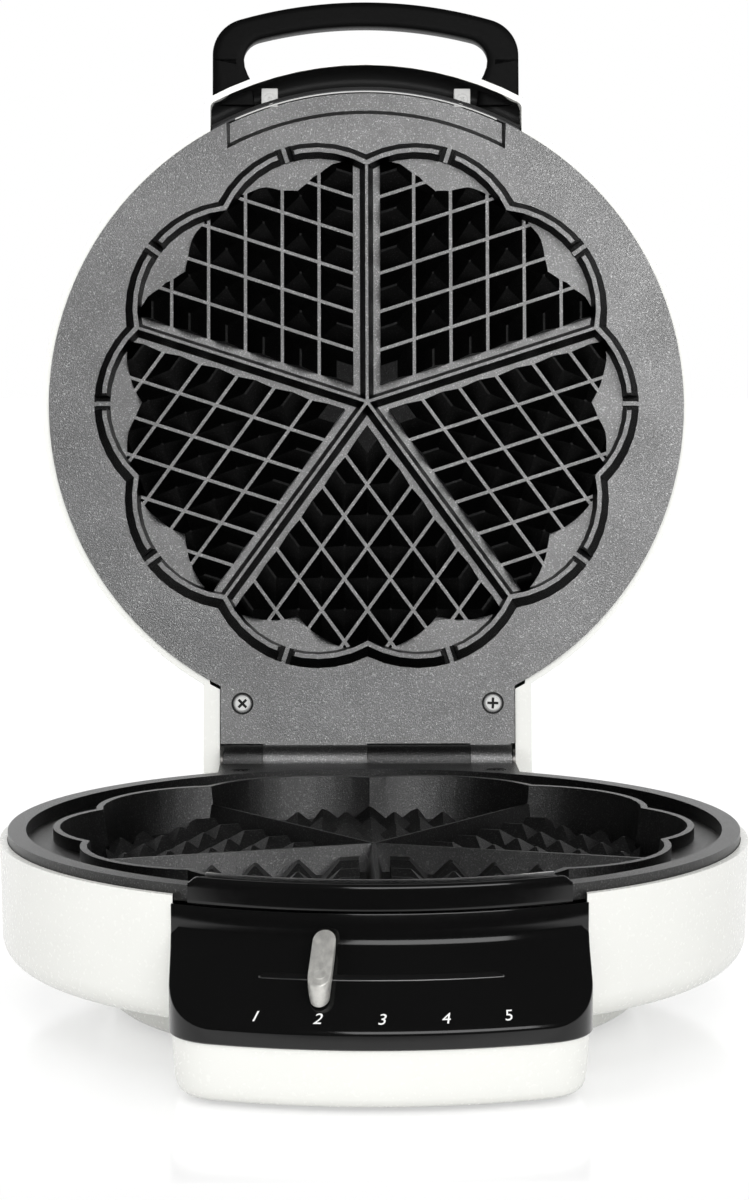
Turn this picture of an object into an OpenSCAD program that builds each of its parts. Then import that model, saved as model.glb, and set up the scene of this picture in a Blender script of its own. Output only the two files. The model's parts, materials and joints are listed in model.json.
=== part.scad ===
// Waffle maker with a hinged lid, cast heart-pattern plates and a sliding
// browning control. Millimetres, +Z up, front towards -Y, lid held open.

/* [Baking plates] */
// Diameter of both cast plates
plate_d = 244; // [236:1:252]
// Width of the flat rim round the lower plate
rim_w = 6; // [4:0.5:7]
// Visible thickness of the plate rim
rim_t = 3; // [2:0.5:5]
// Distance from the plate centre to the centre of each petal arc
petal_centre_r = 61.6; // [59:0.2:63]
// Radius of the petal arcs at the foot of the sealing rib
petal_r = 43; // [40:0.5:44]
// Depth of the lower baking cavity
cavity_depth = 16; // [12:0.5:20]
// Depth of the drip channel round the petals
channel_depth = 4.5; // [3:0.5:6]
// Height of the sealing rib and dividers of the upper plate
rib_h = 6.6; // [5:0.2:9]
// Gap between upper and lower dividers with the lid shut
divider_gap = 0.6; // [0.4:0.1:2]
// Width of the flat top of every divider
divider_top_w = 1.1; // [0.8:0.1:2]
// Width of every divider at its foot
divider_foot_w = 5.2; // [4:0.2:7]
// Spacing of the stud rows
stud_pitch = 14.15; // [12:0.05:16]
// Height of the pyramid studs
stud_h = 6; // [4:0.5:8]
// Width of the flat valley between studs
valley_w = 1.2; // [0.8:0.1:2.5]
// Width of the flat border beside each divider
divider_border = 2.6; // [1.5:0.1:4]
// Width of the flat border inside each petal
petal_border = 3.4; // [2:0.1:5]
// Wall thickness of the castings
cast_t = 3.5; // [2.5:0.5:5]

/* [Base] */
// Height of the plate rim above the table
rim_z = 60; // [56:1:70]
// Gap between plate edge and outer shell face
shell_lip = 2.6; // [2:0.1:4]
// Wall thickness of the plastic shells
wall = 2.4; // [2:0.2:3.2]
// Height of the underside of the round shell above the table
shell_under_z = 17; // [14:0.5:20]
// Rounding of the lower shell edge
shell_round = 9; // [5:0.5:12]
// Diameter of the foot bowl where it meets the shell
bowl_top_d = 190; // [170:1:196]
// Diameter of the foot bowl at the table
bowl_foot_d = 175; // [150:1:180]
// Height of the rubber feet below the bowl
foot_proud = 1.2; // [0.8:0.1:3]
// Diameter of the rubber feet
foot_d = 15; // [10:1:20]

/* [Control front] */
// Width of the control housing
pod_w = 124; // [114:1:126]
// Distance from the plate centre to the front of the control housing
pod_r = 149; // [146:0.5:156]
// Radius of the vertical corners of the housing
pod_corner = 13; // [6:1:18]
// Height of the black band along the front
band_h = 5.6; // [3:0.2:9]
// Height of the front edge of the sloping panel
panel_front_z = 25; // [22:0.5:27]
// Height of the rear edge of the sloping panel
panel_rear_z = 45.5; // [43:0.5:47]
// Distance from the plate centre to the slot for the control
slot_r = 134.5; // [132:0.5:138]
// Width of the slot
slot_w = 1.8; // [1.4:0.1:3]
// Angle between two neighbouring settings
setting_step = 7.4; // [6:0.1:8]
// Setting that the control stands at, counted from the left
setting_now = 2; // [1:1:5]
// Width of the control knob
knob_w = 6.9; // [5:0.1:9]
// Length of the control knob
knob_l = 22; // [18:0.5:24]

/* [Hinge] */
// Distance from the plate centre to the hinge axis
hinge_l = 136.6; // [135:0.2:142]
// Diameter of the hinge knuckles
knuckle_d = 12; // [10:0.5:13]
// Diameter of the hinge pin
pin_d = 5; // [4:0.5:6]
// Radial running clearance of the pin
pin_gap = 0.05; // [0.02:0.01:0.1]
// Width of the plate flanges at the hinge
flange_w = 112; // [104:1:114]
// Angle between the plates with the lid fully open
open_angle = 99.67; // [90:0.01:105]

/* [Lid] */
// Height of the lid cover above the parting plane
lid_h = 34; // [30:1:40]
// Rounding of the lid edge
lid_round = 22; // [12:1:24]
// Width of the necks at the hinge and at the handle
neck_w = 125; // [118:1:130]
// Distance from the plate centre to the front of the handle neck
neck_r = 137.3; // [133:0.1:140]
// Width of the handle
handle_w = 118.6; // [112:1:122]
// Distance from the plate centre to the end of the handle
handle_r = 159.6; // [150:0.1:170]
// Thickness of the handle across the lid
handle_t = 13; // [10:0.5:16]
// Width of the handle bar
bar_w = 9.8; // [8:0.1:13]

/* [Hidden] */
$fn = 96;
// clearances
gap = 0.3;
fit = 0.2;
eps = 0.01;
cut = 1;
// plates
plate_r = plate_d / 2;
petals = 10;
hearts = 5;
petal_step = 360 / petals;
heart_step = 360 / hearts;
first_divider = -90;
rib_top_out = petal_r - 3.4;
rib_top_in = petal_r - 5.1;
rib_foot_in = petal_r - 6.4;
vent_w = 5.2;
vent_bar_w = 1.6;
vent_bar_h = 1.4;
lip_gap = 0.7;
lip_w = 2;
cavity_top_r = petal_r + lip_gap;
lip_drop = 0.4;
divider_start = 0.3;
divider_hub_r = 1.2;
lobe_steps = 10;
cavity_draft = 2.6;
divider_drop = rib_h - gap + divider_gap;
stud_tip = 0.8;
pan_t = cavity_depth + cast_t;
floor_z = rim_z - cavity_depth;
pan_bottom_z = rim_z - pan_t;
pan_r = plate_r - 9;
// hinge
hinge_z = rim_z;
knuckle_r = knuckle_d / 2;
pin_r = pin_d / 2;
base_knuckles = [[-54.8, -39.9], [-0.3, 38.8]];
lid_knuckles = [[-39.7, -0.5], [39, 54.5]];
pin_l = 112;
flange_t = 5;
flange_screw_x = 47.7;
flange_screw_y = hinge_l - 21.8;
head_r = 3.4;
head_t = 1.6;
shank_r = 1.8;
swing_gap = 0.5;
// origin: middle of the open part's outline, on the table
lean = open_angle - 90;
cover_r = plate_r + 2.2;
crown_s = hinge_l + cover_r - lid_round;
crown_t = gap + lid_h - lid_round;
back_reach = hinge_l + crown_s * sin(lean) + crown_t * cos(lean) + lid_round;
base_y = -(back_reach - pod_r) / 2;
// shell
shell_r = plate_r + shell_lip;
shell_top_z = rim_z - rim_t;
bowl_top_r = bowl_top_d / 2;
bowl_foot_r = bowl_foot_d / 2;
bowl_round = 7;
base_neck_y = hinge_l - knuckle_r - 1.2;
rear_block_y = hinge_l + 9;
rear_block_z = rim_z - 24;
rear_foot_x = 45;
rear_foot_y = hinge_l - 6;
gland_z = 26;
gland_r = 6;
screw_r = 1.6;
bowl_screw_r = bowl_foot_r - 8;
bowl_head_z = shell_under_z - 4;
// control
pod_half = pod_w / 2;
pod_bottom_z = 0.8;
pod_taper = 3;
band_z = panel_front_z - band_h;
ledge_r = plate_r + 3.2;
bridge_r = plate_r + 2.5;
bridge_in_r = 115.1;
bridge_h = 3.4;
bridge_skirt = 5.1;
ledge_z = rim_z - bridge_skirt - gap;
ledge_in_r = plate_r + gap;
bridge_w = 115;
bridge_chamfer = 5.1;
bridge_ear_drop = 3;
slot_z = panel_rear_z - (slot_r - ledge_r) * (panel_rear_z - panel_front_z) / (pod_r - ledge_r);
panel_slope = atan((panel_rear_z - panel_front_z) / (pod_r - ledge_r));
knob_angle = (setting_now - 3) * setting_step;
slot_half = 2 * setting_step + 0.6;
stem_w = 1.2;
stem_l = 2;
knob_float = 0.7;
knob_back_r = slot_r - 7.5;
knob_lean = panel_slope - 5;
housing_head_z = 8;
lever_z = 22;
lever_t = 1.6;
lever_w = 9;
spindle_r = 3;
thermostat_r = 16;
thermostat_z = 27;
// heating
tube_r = 3.2;
element_r = 76;
shield_z = 31.5;
shield_t = 0.8;
// lid
parting_z = rim_z + gap;
neck_half = neck_w / 2;
neck_back = knuckle_r + 3.2;
neck_side = neck_half - flange_w / 2 - gap;
notch_r = bridge_in_r - 1.5;
notch_draft = 1.4;
notch_half = bridge_w / 2 - bridge_chamfer + 1.6;
notch_depth = 4;
lid_plate_t = 6;
handle_low = 7;
leg_w = 13;
bracket_r = neck_r - wall - 0.6;
bracket_in_r = plate_r + 2.5;
bracket_low = 6;
boss_low = 5.6;
boss_w = 6.4;
handle_screw_x = 37;
handle_screw_y = sqrt(pow(plate_r + 2.7, 2) - pow(handle_screw_x, 2));

WHITE = [0.93, 0.93, 0.91];
CAST = [0.13, 0.13, 0.14];
BLACK = [0.05, 0.05, 0.05];
STEEL = [0.75, 0.76, 0.77];

// ---- placing ----

// Everything that stays on the base is drawn round the plate centre
module at_base() { translate([0, base_y, 0]) children(); }

// The lid is drawn shut and turned back about the hinge
module at_lid() {
    at_base() translate([0, hinge_l, hinge_z]) rotate([-open_angle, 0, 0])
        translate([0, -hinge_l, -hinge_z]) children();
}

module ring(r_out, r_in, h) {
    difference() {
        cylinder(h = h, r = r_out);
        translate([0, 0, -cut]) cylinder(h = h + 2 * cut, r = r_in);
    }
}

// ---- heart pattern ----

// Ten round petals about the plate centre
module petal_outline(r) {
    circle(r = petal_centre_r);
    for (i = [0 : petals - 1]) rotate(i * petal_step) translate([petal_centre_r, 0]) circle(r = r);
}

// Distance from the plate centre to the cusps between petals of radius r
function cusp_r(r) = petal_centre_r * cos(petal_step / 2)
    + sqrt(pow(r, 2) - pow(petal_centre_r * sin(petal_step / 2), 2));

// Straight divider from the centre outwards, standing on z = 0
module divider(len, h) {
    translate([divider_start, 0, 0]) rotate([90, 0, 90]) linear_extrude(len - divider_start)
        polygon([[-divider_foot_w / 2, -0.5], [divider_foot_w / 2, -0.5], [divider_foot_w / 2, 0],
            [divider_top_w / 2, h], [-divider_top_w / 2, h], [-divider_foot_w / 2, 0]]);
}

module dividers(len, h) {
    for (i = [0 : hearts - 1]) rotate(first_divider + i * heart_step) divider(len, h);
    cylinder(h = h + eps * 5, r = divider_hub_r);
}

// Floor of one heart, pointing along +X
module heart_floor(r) {
    side = divider_foot_w / 2 + divider_border;
    intersection() {
        petal_outline(r);
        translate([side / sin(heart_step / 2), 0])
            polygon([[0, 0], plate_r * [cos(heart_step / 2), -sin(heart_step / 2)],
                [plate_r, 0], plate_r * [cos(heart_step / 2), sin(heart_step / 2)]]);
    }
}

// Groove between two stud rows, along +X, open upwards
module stud_groove() {
    top = stud_pitch - stud_tip;
    rotate([90, 0, 90]) linear_extrude(plate_r + 20)
        polygon([[-valley_w / 2, 0], [valley_w / 2, 0], [top / 2, stud_h + eps],
            [top / 2, stud_h + cut], [-top / 2, stud_h + cut], [-top / 2, stud_h + eps]]);
}

// Pyramid studs of one heart, standing on z = 0
module heart_studs(r) {
    rows = floor(petal_centre_r * 2 / stud_pitch);
    first = divider_foot_w / 2 + 1.5;
    difference() {
        linear_extrude(stud_h) heart_floor(r);
        for (s = [-1, 1], k = [1 : rows - 2])
            rotate(s * heart_step / 2) translate([-20, -s * (first + k * stud_pitch), 0]) stud_groove();
    }
}

module studs(r) {
    for (i = [0 : hearts - 1])
        rotate(first_divider + heart_step / 2 + i * heart_step) heart_studs(r);
}

// Half angle of a petal arc of radius r, seen from the arc's own centre
function lobe_half(r) = atan2(cusp_r(r) * sin(petal_step / 2), cusp_r(r) * cos(petal_step / 2) - petal_centre_r);

// Points once round all the petals, at the arc radius r and the height z
function lobe_ring(r, z) = [for (i = [0 : petals - 1], k = [0 : lobe_steps - 1])
    let (a = i * petal_step, b = a + lobe_half(r) * (2 * k / lobe_steps - 1))
    [petal_centre_r * cos(a) + r * cos(b), petal_centre_r * sin(a) + r * sin(b), z]];

// Solid swept round the petals from a closed section of [arc radius, height]
module petal_sweep(section) {
    n = petals * lobe_steps;
    m = len(section);
    polyhedron(points = [for (p = section) each lobe_ring(p[0], p[1])],
        faces = [for (j = [0 : m - 1], i = [0 : n - 1], half = [0, 1])
            let (k = (i + 1) % n, l = (j + 1) % m)
            half == 0 ? [j * n + k, j * n + i, l * n + k] : [l * n + k, j * n + i, l * n + i]]);
}

// Solid with petal outlines of one radius below and another above
module petal_loft(r_low, z_low, r_high, z_high) {
    n = petals * lobe_steps;
    polyhedron(points = [each lobe_ring(r_low, z_low), each lobe_ring(r_high, z_high), [0, 0, z_low], [0, 0, z_high]],
        faces = [for (i = [0 : n - 1], part = [0 : 3]) let (k = (i + 1) % n)
            part == 0 ? [k, i, n + i] : part == 1 ? [k, n + i, n + k] : part == 2 ? [i, k, 2 * n]
            : [n + k, n + i, 2 * n + 1]]);
}

// Sealing rib of the upper plate, standing on z = 0, with a steam gap in each petal
module sealing_rib() {
    difference() {
        petal_sweep([[petal_r, -gap], [rib_top_out, rib_h], [rib_top_in, rib_h], [rib_foot_in, -gap]]);
        for (i = [0 : petals - 1]) rotate(i * petal_step)
            translate([petal_centre_r + rib_foot_in - 1, -vent_w / 2, eps])
                cube([petal_r - rib_foot_in + 2, vent_w, rib_h + cut]);
    }
    for (i = [0 : petals - 1]) rotate(i * petal_step)
        translate([petal_centre_r + rib_foot_in, -vent_bar_w / 2, -gap])
            cube([petal_r - rib_foot_in - 1, vent_bar_w, vent_bar_h]);
}

// ---- hinge ----

module knuckles(spans, grow = 0) {
    for (s = spans) translate([s[0] - grow / 3, hinge_l, hinge_z]) rotate([0, 90, 0])
        cylinder(h = s[1] - s[0] + 2 * grow / 3, r = knuckle_r + grow);
}

module pin_bore() {
    translate([-flange_w, hinge_l, hinge_z]) rotate([0, 90, 0]) cylinder(h = 2 * flange_w, r = pin_r + pin_gap);
}

// ---- base ----

// Outline of the round shell in section, from the axis outwards
module shell_section(inset) {
    intersection() {
        offset(delta = -inset) offset(r = shell_round) offset(delta = -shell_round)
            polygon([[-60, shell_under_z], [shell_r - 0.8, shell_under_z], [shell_r, shell_top_z],
                [shell_r, shell_top_z + 40], [-60, shell_top_z + 40]]);
        translate([0, 0]) square([shell_r + 1, shell_top_z + (inset > 0 ? 20 : 0)]);
    }
}

module neck_block(half, y0, y1, z0, z1, corner) {
    translate([0, 0, z0]) linear_extrude(z1 - z0) offset(r = corner) offset(delta = -corner)
        translate([-half, y0]) square([2 * half, y1 - y0]);
}

module base_shell() {
    color(WHITE) at_base() difference() {
        union() {
            rotate_extrude() shell_section(0);
            neck_block(neck_half, 60, base_neck_y, shell_under_z, shell_top_z, 5);
            neck_block(neck_half, 60, rear_block_y, shell_under_z, rear_block_z, 8);
            neck_block(neck_half, bowl_top_r + 5, rear_block_y, foot_proud, shell_under_z + wall, 8);
        }
        rotate_extrude() shell_section(wall);
        neck_block(flange_w / 2 + gap, 60, base_neck_y - wall, shell_under_z + wall, shell_top_z + cut, 3);
        neck_block(neck_half - wall, 60, rear_block_y - wall, shell_under_z + wall, rear_block_z - wall, 6);
        neck_block(neck_half - wall, bowl_top_r + 5 + wall, rear_block_y - wall, foot_proud + wall, shell_under_z + wall + cut, 6);
        at_rear_feet() translate([0, 0, foot_proud - cut]) cylinder(h = cut + 1, r = foot_d / 2 + fit);
        // opening over the bowl
        translate([0, 0, shell_under_z - cut]) cylinder(h = wall + 2 * cut, r = bowl_screw_r - 7);
        // window for the control lever, closed by the control housing
        translate([-pod_half + 12, -shell_r - cut, shell_under_z - cut])
            cube([pod_w - 24, 40, panel_rear_z - shell_under_z]);
        // recesses for the plate bridge and the panel's ledge
        bridge_solid(gap);
        panel_ledge(gap);
        // seat of the plate's hinge flange
        translate([-flange_w / 2 - gap, 60, rim_z - flange_t - 1.5 * gap]) cube([flange_w + 2 * gap, 90, 10]);
        // cord gland
        translate([0, rear_block_y - wall - cut, gland_z]) rotate([-90, 0, 0]) cylinder(h = wall + 2 * cut, r = gland_r);
        at_bowl_screws() translate([0, 0, shell_under_z - cut]) cylinder(h = wall + 2 * cut, r = screw_r + fit);
    }
}

module at_bowl_screws() {
    for (a = [20, 160, 200, 340]) rotate(a) translate([bowl_screw_r, 0, 0]) children();
}

module bowl_section(inset) {
    intersection() {
        offset(delta = -inset) offset(r = bowl_round) offset(delta = -bowl_round)
            polygon([[-60, foot_proud], [bowl_foot_r, foot_proud], [bowl_top_r, shell_under_z],
                [bowl_top_r, shell_under_z + 30], [-60, shell_under_z + 30]]);
        square([bowl_top_r + 1, shell_under_z + (inset > 0 ? 20 : 0) - (inset > 0 ? 0 : fit)]);
    }
}

module foot_bowl() {
    color(WHITE) at_base() difference() {
        union() {
            difference() {
                rotate_extrude() bowl_section(0);
                rotate_extrude() bowl_section(wall);
            }
            at_bowl_screws() translate([0, 0, foot_proud]) cylinder(h = shell_under_z - foot_proud - fit, r = 5);
        }
        at_bowl_screws() translate([0, 0, -cut]) cylinder(h = bowl_head_z + 2 + cut, r = 3);
        at_bowl_screws() cylinder(h = shell_under_z + cut, r = screw_r + fit);
        at_feet() translate([0, 0, foot_proud - cut]) cylinder(h = cut + 1, r = foot_d / 2 + fit);
        // the housing stands against the front of the bowl
        translate([0, 0, -cut]) linear_extrude(shell_under_z + 2 * cut) offset(delta = gap) pod_plan(0);
    }
}

module at_feet() {
    for (a = [50, 130, 230, 310]) rotate(a) translate([bowl_foot_r - 14, 0, 0]) children();
}

module at_rear_feet() {
    for (s = [-1, 1]) translate([s * rear_foot_x, rear_foot_y, 0]) children();
}

module rubber_feet() {
    color([0.15, 0.15, 0.15]) at_base() {
        at_feet() cylinder(h = foot_proud + 1, r = foot_d / 2);
        at_rear_feet() cylinder(h = foot_proud + 1, r = foot_d / 2);
    }
}

module bowl_screws() {
    color(STEEL) at_base() at_bowl_screws() {
        translate([0, 0, bowl_head_z]) cylinder(h = 2, r = 2.8);
        translate([0, 0, bowl_head_z + 1]) cylinder(h = 7, r = screw_r);
    }
}

// ---- control front ----

// Plan of the control housing: straight sides, front concentric with the plates
module pod_plan(inset) {
    offset(delta = -inset) offset(r = pod_corner) offset(delta = -pod_corner) intersection() {
        circle(r = pod_r);
        translate([-pod_half, -pod_r - 1]) square([pod_w, pod_r - 84]);
    }
}

module panel_section(inset) {
    polygon([[60, band_z - (inset > 0 ? cut : 0)], [pod_r - inset, band_z - (inset > 0 ? cut : 0)],
        [pod_r - inset, panel_front_z - inset * 0.4], [ledge_r - inset * 0.6, panel_rear_z - inset],
        [ledge_r - inset, ledge_z - inset], [60, ledge_z - inset]]);
}

module control_panel() {
    color(BLACK) at_base() difference() {
        union() {
            difference() {
                intersection() {
                    linear_extrude(rim_z) pod_plan(0);
                    rotate_extrude() panel_section(0);
                }
                intersection() {
                    linear_extrude(rim_z) pod_plan(wall);
                    rotate_extrude() panel_section(wall);
                }
            }
            at_housing_screws() translate([0, 0, band_z]) cylinder(h = panel_front_z - band_z + 8, r = 4);
            panel_ledge(0);
        }
        at_housing_screws() translate([0, 0, band_z - cut]) cylinder(h = 8, r = screw_r + fit);
        // seat round the shell
        translate([0, 0, shell_under_z - 10]) cylinder(h = ledge_z - wall - shell_under_z + 10, r = shell_r + fit);
        translate([0, 0, ledge_z - wall - cut]) cylinder(h = rim_z, r = ledge_in_r);
        // curved slot
        rotate_slot();
    }
}

// Ledge of the panel that reaches in under the bridge
module panel_ledge(grow) {
    intersection() {
        translate([0, 0, ledge_z - wall - grow]) ring(ledge_r, ledge_in_r - grow, wall + (grow > 0 ? 10 : 0) + grow);
        translate([-pod_half - grow, -pod_r, 0]) cube([pod_w + 2 * grow, pod_r - 95, rim_z + 20]);
    }
}

module rotate_slot() {
    rotate(-90 - slot_half) rotate_extrude(angle = 2 * slot_half)
        translate([slot_r - slot_w / 2, panel_front_z]) square([slot_w, 30]);
}

module control_housing() {
    color(WHITE) at_base() difference() {
        union() {
            difference() {
                hull() {
                    translate([0, 0, band_z - fit - 1]) linear_extrude(1) pod_plan(0.4);
                    translate([0, 0, pod_bottom_z]) linear_extrude(1) pod_plan(pod_taper);
                }
                hull() {
                    translate([0, 0, band_z]) linear_extrude(1) pod_plan(wall + 0.4);
                    translate([0, 0, pod_bottom_z + wall]) linear_extrude(1) pod_plan(pod_taper + wall);
                }
            }
            at_housing_screws() translate([0, 0, pod_bottom_z + 1]) cylinder(h = band_z - fit - pod_bottom_z - 1, r = 4.2);
        }
        at_housing_screws() translate([0, 0, -cut]) cylinder(h = housing_head_z + 2 + cut, r = 3);
        at_housing_screws() cylinder(h = rim_z, r = screw_r + fit);
        translate([0, 0, shell_under_z - gap]) cylinder(h = 30, r = shell_r + fit);
        // stands against the bowl behind it
        translate([0, 0, -cut]) linear_extrude(rim_z) translate([-pod_w, -88]) square([2 * pod_w, 100]);
    }
}

// Bridge that covers the front of the plate rim
module bridge_solid(grow = 0) {
    half = bridge_w / 2 + grow;
    intersection() {
        translate([0, 0, rim_z - bridge_skirt - grow])
            ring(bridge_r + grow, bridge_in_r, bridge_skirt + bridge_h + grow);
        translate([0, -bridge_in_r + 30, 0]) rotate([90, 0, 0]) linear_extrude(60)
            polygon([[-half, rim_z - 20], [half, rim_z - 20], [half, rim_z - bridge_ear_drop],
                [half - bridge_chamfer, rim_z - fit], [half - bridge_chamfer, rim_z + bridge_h + grow],
                [-half + bridge_chamfer, rim_z + bridge_h + grow], [-half + bridge_chamfer, rim_z - fit],
                [-half, rim_z - bridge_ear_drop]]);
    }
}

module plate_bridge() {
    color(BLACK) at_base() difference() {
        bridge_solid();
        translate([0, 0, rim_z - bridge_skirt - cut]) cylinder(h = bridge_skirt + cut + fit, r = plate_r + fit);
    }
}

module at_housing_screws() {
    for (s = [-1, 1]) translate([s * 47, -125, 0]) children();
}

module housing_screws() {
    color(STEEL) at_base() at_housing_screws() translate([0, 0, housing_head_z]) {
        cylinder(h = 2, r = 2.8);
        cylinder(h = 16, r = screw_r);
    }
}

// ---- browning control ----

module at_control() { at_base() rotate(knob_angle) children(); }

// Side view of the knob, in the plane of distance from the centre and height
module knob_side() {
    back = knob_back_r;
    front = back + knob_l * cos(knob_lean);
    top_back = rim_z - 9.6;
    top_front = top_back - knob_l * sin(knob_lean);
    offset(r = 0.8) offset(delta = -0.8)
        polygon([[back, top_back], [front, top_front], [front - 0.8, panel_z(front - 0.8) + knob_float],
            [slot_r - 1, panel_z(slot_r - 1) + knob_float], [back, top_back - 2.6]]);
}

module slider_knob() {
    color(STEEL) at_control() difference() {
        intersection() {
            translate([-knob_w / 2, 0, 0]) rotate([90, 0, -90]) mirror([0, 0, 1])
                linear_extrude(knob_w) knob_side();
            // rounded ends seen from above
            linear_extrude(rim_z) hull() {
                translate([0, -(knob_back_r + knob_w / 2)]) circle(d = knob_w);
                translate([0, -(knob_back_r + knob_l * cos(knob_lean) - knob_w / 2)]) circle(d = knob_w);
            }
        }
        translate([-stem_l / 2 - fit, -slot_r - stem_w / 2 - fit, slot_z - 3])
            cube([stem_l + 2 * fit, stem_w + 2 * fit, 7]);
    }
}

// Height of the sloping panel at a distance from the plate centre
function panel_z(r) = panel_rear_z - (r - ledge_r) * tan(panel_slope);

module control_lever() {
    hub_r = 7;
    color(STEEL) at_control() difference() {
        union() {
            translate([0, 0, lever_z]) cylinder(h = lever_t, r = hub_r);
            translate([-lever_w / 2, -slot_r - stem_w / 2, lever_z]) cube([lever_w, slot_r, lever_t]);
            translate([-stem_l / 2, -slot_r - stem_w / 2, lever_z])
                cube([stem_l, stem_w, slot_z + 3.8 - lever_z]);
        }
        translate([0, 0, lever_z - cut]) cylinder(h = lever_t + 2 * cut, r = spindle_r + fit);
    }
}

module thermostat_spindle() {
    color(STEEL) at_control() {
        translate([0, 0, lever_z - 1.5]) cylinder(h = 10, r = spindle_r);
        translate([0, 0, lever_z - 2]) cylinder(h = 2, r = 5);
    }
}

module thermostat() {
    color([0.85, 0.82, 0.75]) at_base() difference() {
        union() {
            translate([0, 0, thermostat_z]) cylinder(h = pan_bottom_z - thermostat_z - fit, r = thermostat_r);
            translate([-26, -5, thermostat_z + 3]) cube([52, 10, 2]);
        }
        translate([0, 0, thermostat_z - cut]) cylinder(h = cut + 6, r = spindle_r + pin_gap);
    }
}

module thermostat_bracket() {
    color(STEEL) at_base() {
        for (s = [-1, 1]) translate([s * 29.5, 0, thermostat_z + 3]) difference() {
            translate([-3, -6, 0]) cube([6, 12, pan_bottom_z - thermostat_z - 3 - fit]);
            translate([0, 0, -cut]) cylinder(h = 20, r = 1.6);
        }
    }
}

// ---- heating and wiring ----

// Tubular element: open ring whose ends turn towards the back
module element(z, tail) {
    opening = 14;
    translate([0, 0, z]) {
        rotate(90 + opening) rotate_extrude(angle = 360 - 2 * opening) translate([element_r, 0]) circle(r = tube_r);
        for (s = [-1, 1]) rotate(90 + s * opening) translate([element_r, 0, 0]) rotate(-s * opening) {
            sphere(r = tube_r);
            rotate([0, 90, 0]) cylinder(h = tail, r = tube_r);
        }
    }
}

module lower_element() {
    color(STEEL) at_base() element(pan_bottom_z - tube_r - fit, 24);
}

module lower_heat_shield() {
    color(STEEL) at_base() difference() {
        union() {
            translate([0, 0, shield_z]) cylinder(h = shield_t, r = pan_r);
            translate([0, 0, shield_z]) ring(pan_r, pan_r - shield_t, pan_bottom_z - shield_z - fit);
        }
        translate([0, 0, shield_z - cut]) cylinder(h = 3, r = thermostat_r + 22);
        translate([-40, 80, shield_z - cut]) cube([80, 40, 20]);
    }
}

module terminal_block() {
    color([0.9, 0.88, 0.8]) at_base() translate([-20, 62, foot_proud + wall]) difference() {
        cube([40, 16, 12]);
        for (i = [0 : 2]) translate([8 + i * 12, 8, 4]) cylinder(h = 10, r = 2.6);
    }
}

module cord_gland() {
    color([0.2, 0.2, 0.2]) at_base() translate([0, rear_block_y, gland_z]) rotate([90, 0, 0]) difference() {
        union() {
            translate([0, 0, -2]) cylinder(h = 2 - eps, r = gland_r + 2.5);
            translate([0, 0, -1]) cylinder(h = wall + 4, r = gland_r - fit);
            translate([0, 0, wall + fit]) cylinder(h = 2, r = gland_r + 1.5);
        }
        translate([0, 0, -6]) cylinder(h = 20, r = 3.6);
    }
}

// ---- lower plate ----

module flange(spans, z0) {
    difference() {
        union() {
            translate([0, 0, z0]) linear_extrude(flange_t) difference() {
                translate([-flange_w / 2, 0]) square([flange_w, hinge_l - knuckle_r - swing_gap]);
                circle(r = plate_r - rim_w / 2);
            }
            for (s = spans) translate([s[0], hinge_l - knuckle_r - 4, z0])
                cube([s[1] - s[0], knuckle_r + 4, flange_t]);
            knuckles(spans);
        }
        pin_bore();
    }
}

module lower_plate() {
    color(CAST) at_base() difference() {
        union() {
            difference() {
                union() {
                    translate([0, 0, rim_z - rim_t - 2]) cylinder(h = rim_t + 2, r = plate_r);
                    translate([0, 0, pan_bottom_z]) cylinder(h = pan_t, r = pan_r);
                }
                difference() {
                    translate([0, 0, rim_z - channel_depth]) cylinder(h = channel_depth + cut, r = plate_r - rim_w);
                    translate([0, 0, rim_z - channel_depth - cut])
                        linear_extrude(channel_depth + cut - lip_drop) petal_outline(cavity_top_r + lip_w);
                }
                petal_loft(cavity_top_r - cavity_draft, floor_z, cavity_top_r, rim_z + cut);
            }
            flange(base_knuckles, rim_z - flange_t - gap / 2);
            translate([0, 0, floor_z]) dividers(cusp_r(cavity_top_r) + lip_w / 2, cavity_depth - divider_drop);
            translate([0, 0, floor_z - eps]) studs(petal_r - 6.4 - petal_border);
        }
        // clear the lid's knuckles
        knuckles(lid_knuckles, gap);
        flange_screw_holes(rim_z - gap / 2, 1);
    }
}

// Screws sunk in the flange: face is the open side, dir +1 where it faces up
module at_flange_screws(face, dir) {
    for (s = [-1, 1]) translate([s * flange_screw_x, flange_screw_y, face])
        mirror([0, 0, dir > 0 ? 0 : 1]) children();
}

module flange_screw_holes(face, dir) {
    at_flange_screws(face, dir) {
        translate([0, 0, -20]) cylinder(h = 30, r = shank_r + fit);
        translate([0, 0, -head_t - fit]) cylinder(h = 10, r = head_r + fit);
    }
}

module flange_screws(face, dir) {
    at_flange_screws(face, dir) {
        translate([0, 0, -head_t - fit]) cylinder(h = head_t, r = head_r);
        translate([0, 0, -11]) cylinder(h = 11 - head_t, r = shank_r);
    }
}

module lower_plate_screws() {
    color(STEEL) at_base() flange_screws(rim_z - gap / 2, 1);
}

module hinge_pin() {
    color(STEEL) at_base() translate([-pin_l / 2, hinge_l, hinge_z]) rotate([0, 90, 0]) cylinder(h = pin_l, r = pin_r);
}

module pin_clips() {
    color(STEEL) at_base() for (s = [-1, 1]) translate([s * (pin_l / 2) - (s > 0 ? 0.9 : 0), hinge_l, hinge_z])
        rotate([0, 90, 0]) difference() {
            cylinder(h = 0.9, r = pin_r + 1.8);
            translate([0, 0, -cut]) cylinder(h = 4, r = pin_r + 0.02);
        }
}

// ---- lid, drawn shut ----

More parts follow.
